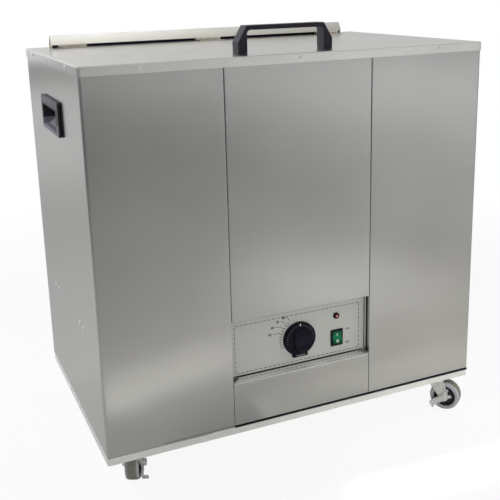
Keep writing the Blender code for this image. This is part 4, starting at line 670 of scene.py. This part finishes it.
seam = slotLook["seam"] / slotLook["outerX"]
levels = panHigh + slotLook["clear"], sheetLow - slotLook["clear"]
lipLevels = panHigh + slotLook["lipLow"], panHigh + slotLook["lipHigh"]
darkPath, steelPath = [(seam, -1), (1, -1), (1, 1), (-1, 1)], [(-1, 1), (-1, -1), (seam, -1)]
lipEdges = list(zip(slotLook["lipX"], slotLook["lipY"]))
lip = [np.array(darkPath, float) * edge for edge in lipEdges]
line = [np.array([(slotLook["lineFrom"], -y), (slotLook["seam"], -y)]) for y in slotLook["lineY"]]
edgeHighlight = [np.array([(-x, -y), (slotLook["edgeHighlightTo"], -y)]) for x, y in lipEdges]
slotShade = stacked([slotStrip(*slotPath(slotLook, darkPath), *levels),
                  slotStrip(*line, sheetLow + slotLook["lineLow"], levels[1]), slotStrip(*lip, *lipLevels)])
# the black strips, the line and the lip in the slot are painted shade
makePiece("slot_painted_shade", slotShade, "black", "cabinet", slotLook["crease"])
makePiece("slot_edge", slotStrip(*slotPath(slotLook, steelPath), *levels), "sheet", "cabinet",
          slotLook["crease"])
# a bright strip of painted highlight along the base sheet's folded edge
makePiece("slot_painted_highlight", slotStrip(*edgeHighlight, *lipLevels), "nickel", "cabinet", slotLook["crease"])


# black strip of painted shade under the rail, in lengths between the hinges' leaves
railShadeLook = {"spans": ((-0.324, -0.3135), (-0.2585, -0.0275), (0.0275, 0.2585), (0.3135, 0.324)),
               "back": 0.0016, "half": 0.0005, "low": 0.0001, "high": 0.0054}
railFront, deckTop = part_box("hinge_rail")[0].y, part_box("rear_deck")[1].z
lengths = []
for start, end in railShadeLook["spans"]:
    points, faces = bar((end - start) / 2, railShadeLook["half"], railShadeLook["low"], railShadeLook["high"])
    lengths.append((points + ((start + end) / 2, railFront + railShadeLook["back"], deckTop), faces))
makePiece("rail_painted_shade", stacked(lengths), "black", "cabinet")


# recess trims: flat bars on the right wall, the plate's foot and the ledge; the dark ones are painted shade,
# on the wall along the sheet's joints, and the bright ones painted highlight
recessLook = {"wall": 0.138, "ledge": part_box("lower_front_panel")[1].z, "thick": 0.0002, "low": 0.170,
              "high": 0.2795, "plate": 0.2135, "shadeGap": (0.2213, 0.2262), "highlightFold": (0.2168, 0.2210),
              "joint": (0.2137, 0.2152), "front": 0.2335, "clear": 0.0015, "foot": 0.0017, "highlightHem": 0.0012,
              "hemDrop": 0.0022}


# an upright bar on the right wall, between two depths
def wallStrip(near, far, look):
    points, faces = bar((far - near) / 2, (look["high"] - look["low"]) / 2, 0.0, look["thick"])
    middle = (look["wall"], -(near + far) / 2, (look["low"] + look["high"]) / 2)
    return setAt(points, middle, (0, 1, 0), (0, 0, 1), (-1, 0, 0)), faces


# a bar across the recess at one depth, between two heights
def longStrip(depth, low, high, look):
    shape = bar(look["wall"] - look["clear"], (high - low) / 2, 0.0, look["thick"])
    return onFront(shape, (0.0, -depth, (low + high) / 2))


ledge = recessLook["ledge"]
hemHigh = ledge - recessLook["hemDrop"]
shadeGap, highlightFold, joint = (wallStrip(*recessLook[key], recessLook) for key in ("shadeGap", "highlightFold", "joint"))
foot = longStrip(recessLook["plate"], ledge, ledge + recessLook["foot"], recessLook)
highlightHem = longStrip(recessLook["front"], hemHigh - recessLook["highlightHem"], hemHigh, recessLook)
# dark bars of painted shade
makePiece("recess_painted_shade", stacked([shadeGap, joint, foot]), "ink", "cabinet")
# bright bars of painted highlight
makePiece("recess_painted_highlight", stacked([highlightFold, highlightHem]), "nickel", "cabinet")
print("trims made")


# label print: flat strips of ink on the control plate, drawn in x and z from the dial's middle
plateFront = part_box("control_plate")[0].y
dialMiddle = joints["dial_turn"]["pos_m"]
switchMiddle = centreOf("switch_housing")
printLook = {"left": -0.1265, "right": 0.1265, "low": -0.0445, "high": 0.0460, "dash": 0.0058,
             "pitch": 0.0092, "width": 0.0010, "thick": 0.00008, "tickFrom": 124.0, "tickTo": 201.0,
             "ticks": 10, "tickIn": 0.0345, "tickOut": 0.0392, "tickWidth": 0.0013, "numberSize": 0.0066,
             "numbers": (("80", 124.0, 0.0535), ("70", 138.0, 0.0570), ("60", 151.0, 0.0600),
                         ("50", 164.0, 0.0600)),
             "leaderWidth": 0.0008, "leaderTurn": 7.0, "leaderStart": 0.0062, "leaderBend": 0.003,
             "leaderPoints": 14, "wordSize": 0.0048, "bold": 0.03,
             "words": (("ON", 0.0235, 0.0125), ("OFF", 0.0235, -0.0145))}


# a strip along a path of points in the plate: the path moved half a width each way
def strip(path, width, thick=printLook["thick"]):
    path = np.asarray(path, float)
    along = np.gradient(path, axis=0)
    along /= np.linalg.norm(along, axis=1)[:, None]
    across = np.c_[-along[:, 1], along[:, 0]] * width / 2.0
    loop = np.concatenate([path + across, (path - across)[::-1]])
    count, half = len(loop), len(path)
    points = np.concatenate([np.c_[loop, np.zeros(count)], np.c_[loop, np.full(count, thick)]])
    index = np.arange(count)
    walls = np.c_[index, (index + 1) % count, (index + 1) % count + count, index + count].tolist()
    step = np.arange(half - 1)
    lid = np.c_[step, step + 1, count - 2 - step, count - 1 - step]
    return points, walls + (lid + count).tolist() + lid[:, ::-1].tolist()


# one step from the middle toward an angle
def toward(turn):
    return np.array([math.cos(turn), math.sin(turn)])


# a strip along one radius, between two distances from the middle
def spokeStrip(turn, inner, outer, width):
    return strip([toward(turn) * inner, toward(turn) * outer], width)


def onPlate(shape):
    return onFront(shape, (dialMiddle[0], plateFront, dialMiddle[2]))


# dashes of one length, centred on equal shares of a line
def dashedLine(start, end, look):
    start, end = np.array(start), np.array(end)
    length = np.linalg.norm(end - start)
    count = max(1, int(round(length / look["pitch"])))
    half = (end - start) / length * look["dash"] / 2
    middles = [start + (end - start) * share for share in (np.arange(count) + 0.5) / count]
    return [strip([middle - half, middle + half], look["width"]) for middle in middles]


border = [(printLook["left"], printLook["low"]), (printLook["right"], printLook["low"]),
          (printLook["right"], printLook["high"]), (printLook["left"], printLook["high"])]
inkShapes = [shape for start, end in zip(border, border[1:] + border[:1])
             for shape in dashedLine(start, end, printLook)]
for turn in np.radians(np.linspace(printLook["tickFrom"], printLook["tickTo"], printLook["ticks"])):
    inkShapes.append(spokeStrip(turn, printLook["tickIn"], printLook["tickOut"], printLook["tickWidth"]))
words = []
for word, turn, far in printLook["numbers"]:  # a leader bends from each number round to the tick ring
    place = far * toward(math.radians(turn))
    words.append((word, printLook["numberSize"], place))
    end = toward(math.radians(turn - printLook["leaderTurn"])) * printLook["tickOut"]
    start = place + (printLook["leaderStart"], 0.0)
    bend = np.array([end[0] - printLook["leaderBend"], start[1]])
    share = np.linspace(0.0, 1.0, printLook["leaderPoints"])[:, None]
    leader = (1 - share) ** 2 * start + 2 * share * (1 - share) * bend + share ** 2 * end
    inkShapes.append(strip(leader, printLook["leaderWidth"]))
makePiece("label_print", stacked([onPlate(shape) for shape in inkShapes]), "ink", "cabinet")


# words as flat meshes: the letter outlines filled, with a little thickness
def lettering(word, size, thick):
    curve = bpy.data.curves.new("word", "FONT")
    curve.body = word
    curve.size = size
    curve.align_x = "CENTER"
    curve.align_y = "CENTER"
    curve.extrude = thick / 2
    curve.offset = size * printLook["bold"]
    holder = bpy.data.objects.new("word", curve)
    bpy.context.scene.collection.objects.link(holder)
    made = bpy.data.meshes.new_from_object(holder.evaluated_get(bpy.context.evaluated_depsgraph_get()))
    points = np.array([v.co for v in made.vertices]) + (0.0, 0.0, thick / 2)
    faces = [tuple(face.vertices) for face in made.polygons]
    bpy.data.objects.remove(holder)
    bpy.data.curves.remove(curve)
    bpy.data.meshes.remove(made)
    return points, faces


words += [(word, printLook["wordSize"], (switchMiddle.x + x, switchMiddle.z - dialMiddle[2] + z))
          for word, x, z in printLook["words"]]
wordShapes = []
for word, size, (x, z) in words:
    points, faces = lettering(word, size, printLook["thick"])
    wordShapes.append(onPlate((points + (x, z, 0.0), faces)))
makePiece("scale_words", stacked(wordShapes), "ink", "cabinet")
print("label printed")

# the signs for on and off, lying on the rocker's own slopes
rockerLook = {"signs": (("I", 0.0062), ("O", -0.0062)), "size": 0.0062, "thick": 0.0001, "rayFrom": 0.05}
rockerSigns = []
for sign, rise in rockerLook["signs"]:
    start = Vector((switchMiddle.x, plateFront - rockerLook["rayFrom"], switchMiddle.z + rise))
    place, normal = nodes["rocker"].ray_cast(start, Vector((0.0, 1.0, 0.0)))[1:3]
    points, faces = lettering(sign, rockerLook["size"], rockerLook["thick"])
    rockerSigns.append((setAt(points, place, (1, 0, 0), normal.cross((1, 0, 0)), normal), faces))
makePiece("rocker_signs", stacked(rockerSigns), "white", "rocker")

# dial marks on the face of the dial, and the ridge on its thumb tab
markLook = {"face": 0.0068, "indexAt": math.pi / 2, "indexIn": 0.0258, "indexOut": 0.0303,
            "indexWidth": 0.0017, "dots": 23, "dotFrom": -10.0, "dotTo": 190.0, "dotClear": 0.08,
            "dotIn": 0.0256, "dotOut": 0.0274, "dotWidth": 0.0010}
ridgeLook = {"length": 0.019, "width": 0.0026, "height": 0.0009, "drop": 0.0308, "face": 0.0074,
             "rows": 25, "columns": 9, "blunt": 8, "endWidth": 0.6}


def onDial(shape, rise):
    return onFront(shape, (dialMiddle[0], dialMiddle[1] - rise, dialMiddle[2]))


index = strip([(0.0, markLook["indexIn"]), (0.0, markLook["indexOut"])], markLook["indexWidth"])
makePiece("dial_index", onDial(index, markLook["face"]), "white", "dial")
dotTurns = np.radians(np.linspace(markLook["dotFrom"], markLook["dotTo"], markLook["dots"]))
dots = [spokeStrip(turn, markLook["dotIn"], markLook["dotOut"], markLook["dotWidth"])
        for turn in dotTurns if abs(turn - markLook["indexAt"]) > markLook["dotClear"]]
makePiece("dial_dots", onDial(stacked(dots), markLook["face"]), "greyMark", "dial")


# ridge: half an ellipse across, fading out at both ends
def ridge(look):
    along = np.linspace(-1.0, 1.0, look["rows"])[:, None]
    across = np.linspace(0.0, np.pi, look["columns"])[None, :]
    swell = np.sqrt(np.clip(1.0 - along ** look["blunt"], 0.0, 1.0))
    x = np.broadcast_to(along * look["length"] / 2, (look["rows"], look["columns"]))
    y = np.cos(across) * look["width"] / 2 * (look["endWidth"] + (1.0 - look["endWidth"]) * swell)
    z = np.sin(across) * look["height"] * swell
    points = np.stack([x, y - look["drop"], z], axis=-1).reshape(-1, 3)
    return points, gridFaces(look["rows"], look["columns"])


# the ridge's grey, paler than the black dial, is a painted highlight on it
makePiece("tab_ridge", onDial(ridge(ridgeLook), ridgeLook["face"]), "greyMark", "dial")
print("dial marked")

# camera at the photograph's place, with its small roll and the crop's shift
view = {"place": (-0.6233, -1.4435, 0.8435), "forward": (0.388, 0.888, -0.247),
        "right": (0.913, -0.406, -0.025), "focal": 815.14, "middle": (251.75, 193.29), "frame": 500.0,
        "sensor": 36.0}
forward = Vector(view["forward"]).normalized()
right = Vector(view["right"])
right = (right - forward * right.dot(forward)).normalized()
up = right.cross(forward)
camera = bpy.data.objects.new("camera", bpy.data.cameras.new("camera"))
camera.data.sensor_width = view["sensor"]
camera.data.lens = view["focal"] * view["sensor"] / view["frame"]
camera.data.shift_x = (view["frame"] / 2 - view["middle"][0]) / view["frame"]
camera.data.shift_y = (view["middle"][1] - view["frame"] / 2) / view["frame"]
camera.matrix_world = Matrix.Translation(view["place"]) @ Matrix((right, up, -forward)).transposed().to_4x4()
bpy.context.scene.collection.objects.link(camera)
bpy.context.scene.camera = camera

# plain pale floor that keeps the shadow, and soft studio light
studio = {"floorHalf": 9.0, "floorColour": (0.80, 0.80, 0.79, 1.0), "floorRough": 0.9, "whiteNear": 0.92,
          "whiteFrom": 0.8, "whiteTo": 2.0, "worldLight": 0.2, "frontLeft": 0.42, "frontRight": 0.6,
          "frontSpan": (0.1, 0.7), "backLeft": 1.03, "backRight": 0.62, "backSpan": (-0.1, 0.3),
          "depthSpan": (-0.3, 0.5), "overhead": 0.58, "overheadSpan": (0.25, 0.75)}
white = (1.0, 1.0, 1.0, 1.0)
half = studio["floorHalf"]
floorMesh = bpy.data.meshes.new("floor")
floorMesh.from_pydata([(-half, -half, 0), (half, -half, 0), (half, half, 0), (-half, half, 0)], [],
                      [(0, 1, 2, 3)])
floor = bpy.data.objects.new("floor", floorMesh)
bpy.context.scene.collection.objects.link(floor)
floor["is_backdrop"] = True
floorFinish, wire, shader = newFinish("studio floor", {"Base Color": studio["floorColour"],
                                                       "Roughness": studio["floorRough"]})
seen = wire.node("ShaderNodeLightPath", out="Is Camera Ray")
glow = wire.node("ShaderNodeEmission", None, {"Color": white, "Strength": 1.0})
far = wire.node("ShaderNodeVectorMath", {"operation": "LENGTH"}, {0: objectSpace(wire)}, out="Value")
away = between(wire, far, studio["whiteFrom"], studio["whiteTo"])
share = studio["whiteNear"] + (1.0 - studio["whiteNear"]) * away
lit = Wire(wire.tree, shader.outputs[0])
mixed = wire.node("ShaderNodeMixShader", None, {0: seen * share, 1: lit, 2: glow})
wire.tree.links.new(mixed.socket, wire.tree.nodes["Material Output"].inputs["Surface"])
floorMesh.materials.append(floorFinish)

world = bpy.data.worlds.new("studio")
world.use_nodes = True
bpy.context.scene.world = world
wire = Wire(world.node_tree)
seen, shine, through = (wire.node("ShaderNodeLightPath", out="Is " + kind + " Ray")
                        for kind in ("Camera", "Glossy", "Transmission"))
direction = wire.node("ShaderNodeTexCoord", out="Generated")
towardX, towardY, towardZ = (wire.node("ShaderNodeSeparateXYZ", None, {0: direction}, out=axis)
                             for axis in "XYZ")


def blendLevel(low, high, value, span):
    return low + (high - low) * between(wire, value, *span)


# what metal mirrors: one grey level for each side, eased into the next
frontLevel = blendLevel(studio["frontLeft"], studio["frontRight"], towardX, studio["frontSpan"])
backLevel = blendLevel(studio["backLeft"], studio["backRight"], towardX, studio["backSpan"])
level = blendLevel(frontLevel, backLevel, towardY, studio["depthSpan"])
level = blendLevel(level, studio["overhead"], towardZ, studio["overheadSpan"])
dim, shown, plain = (wire.node("ShaderNodeBackground", None, {"Color": colour, "Strength": strength})
                     for colour, strength in ((white, studio["worldLight"]), (level, 1.0), (white, 1.0)))
mirrored = wire.node("ShaderNodeMixShader", None, {0: wire.math("MAXIMUM", shine, through), 1: dim, 2: shown})
mixed = wire.node("ShaderNodeMixShader", None, {0: seen, 1: mirrored, 2: plain})
wire.tree.links.new(mixed.socket, wire.tree.nodes["World Output"].inputs["Surface"])


def softLight(name, look):
    data = bpy.data.lights.new(name, "AREA")
    data.shape = "RECTANGLE"
    data.size, data.size_y = look["size"]
    data.spread = math.radians(look["spread"])
    data.energy = look["power"]
    data.color = look["colour"]
    lamp = bpy.data.objects.new(name, data)
    lamp.location = look["place"]
    lamp.visible_glossy = False  # the sheets mirror the floor it lights, and not the lamp
    lamp.visible_camera = False
    lamp.rotation_euler = (Vector(look["aim"]) - Vector(look["place"])).to_track_quat("-Z", "Y").to_euler()
    lamp.rotation_euler.z += math.radians(look.get("turn", 0.0))
    bpy.context.scene.collection.objects.link(lamp)


plainLight, warmLight = (1.0, 1.0, 1.0), (1.0, 0.965, 0.88)
lamps = {
    "right back": {"place": (1.2, 0.52, 2.6), "aim": (-0.05, -0.5, 0.0), "size": (0.15, 0.15),
                   "spread": 45.0, "power": 0.879, "colour": warmLight},
    "left strip": {"place": (-0.134, -0.636, 1.6), "aim": (-0.134, -0.636, 0.0), "size": (0.36, 0.03),
                   "spread": 5.0, "power": 0.26, "colour": warmLight, "turn": -19.0},
    "right strip": {"place": (0.274, -0.42, 1.6), "aim": (0.274, -0.42, 0.0), "size": (0.5, 0.03),
                    "spread": 4.0, "power": 0.95, "colour": warmLight, "turn": -3.3},
    "middle": {"place": (0.5, -0.98, 1.8), "aim": (0.5, -0.98, 0.0), "size": (0.3, 0.1),
               "spread": 20.0, "power": 0.358, "colour": plainLight},
    "left": {"place": (-1.5, 0.5, 1.6), "aim": (-0.7, 0.1, 0.0), "size": (0.8, 0.8),
             "spread": 120.0, "power": 9.13, "colour": plainLight},
    "front right": {"place": (1.5, -1.3, 1.8), "aim": (1.2, -1.2, 0.0), "size": (0.8, 0.8),
                    "spread": 120.0, "power": 5.53, "colour": warmLight},
    "back": {"place": (-1.2, 2.6, 2.0), "aim": (-1.2, 2.6, 0.0), "size": (1.2, 1.2),
             "spread": 120.0, "power": 8.5, "colour": plainLight},
    "far right": {"place": (2.6, -2.6, 2.2), "aim": (2.6, -2.6, 0.0), "size": (1.0, 1.0),
                  "spread": 130.0, "power": 14.4, "colour": plainLight},
    "near right": {"place": (0.8, -0.6, 1.3), "aim": (0.6, -0.45, 0.0), "size": (0.3, 0.3),
                   "spread": 60.0, "power": 0.62, "colour": warmLight},
    "front": {"place": (0.2, -2.4, 0.25), "aim": (0.1, -0.2, 0.2), "size": (0.4, 0.4),
              "spread": 34.0, "power": 0.8, "colour": plainLight},
    "far back": {"place": (-1.3, 5.0, 3.0), "aim": (-1.3, 5.0, 0.0), "size": (2.0, 2.0),
                 "spread": 120.0, "power": 28.1, "colour": plainLight},
    "far front": {"place": (3.8, -5.2, 3.0), "aim": (3.8, -5.2, 0.0), "size": (1.5, 1.5),
                  "spread": 100.0, "power": 41.0, "colour": plainLight},
    "farther front": {"place": (2.2, -7.8, 3.0), "aim": (2.2, -7.8, 0.0), "size": (2.0, 2.0),
                      "spread": 100.0, "power": 32.0, "colour": plainLight},
    "rail": {"place": (-1.2, -0.7, 1.7), "aim": (-0.22, 0.21, 0.75), "size": (0.15, 0.15),
             "spread": 24.0, "power": 0.62, "colour": plainLight},
}
for name, look in lamps.items():
    softLight(name + " light", look)
bpy.context.scene.view_settings.view_transform = "Standard"
print("studio ready")

low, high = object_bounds()
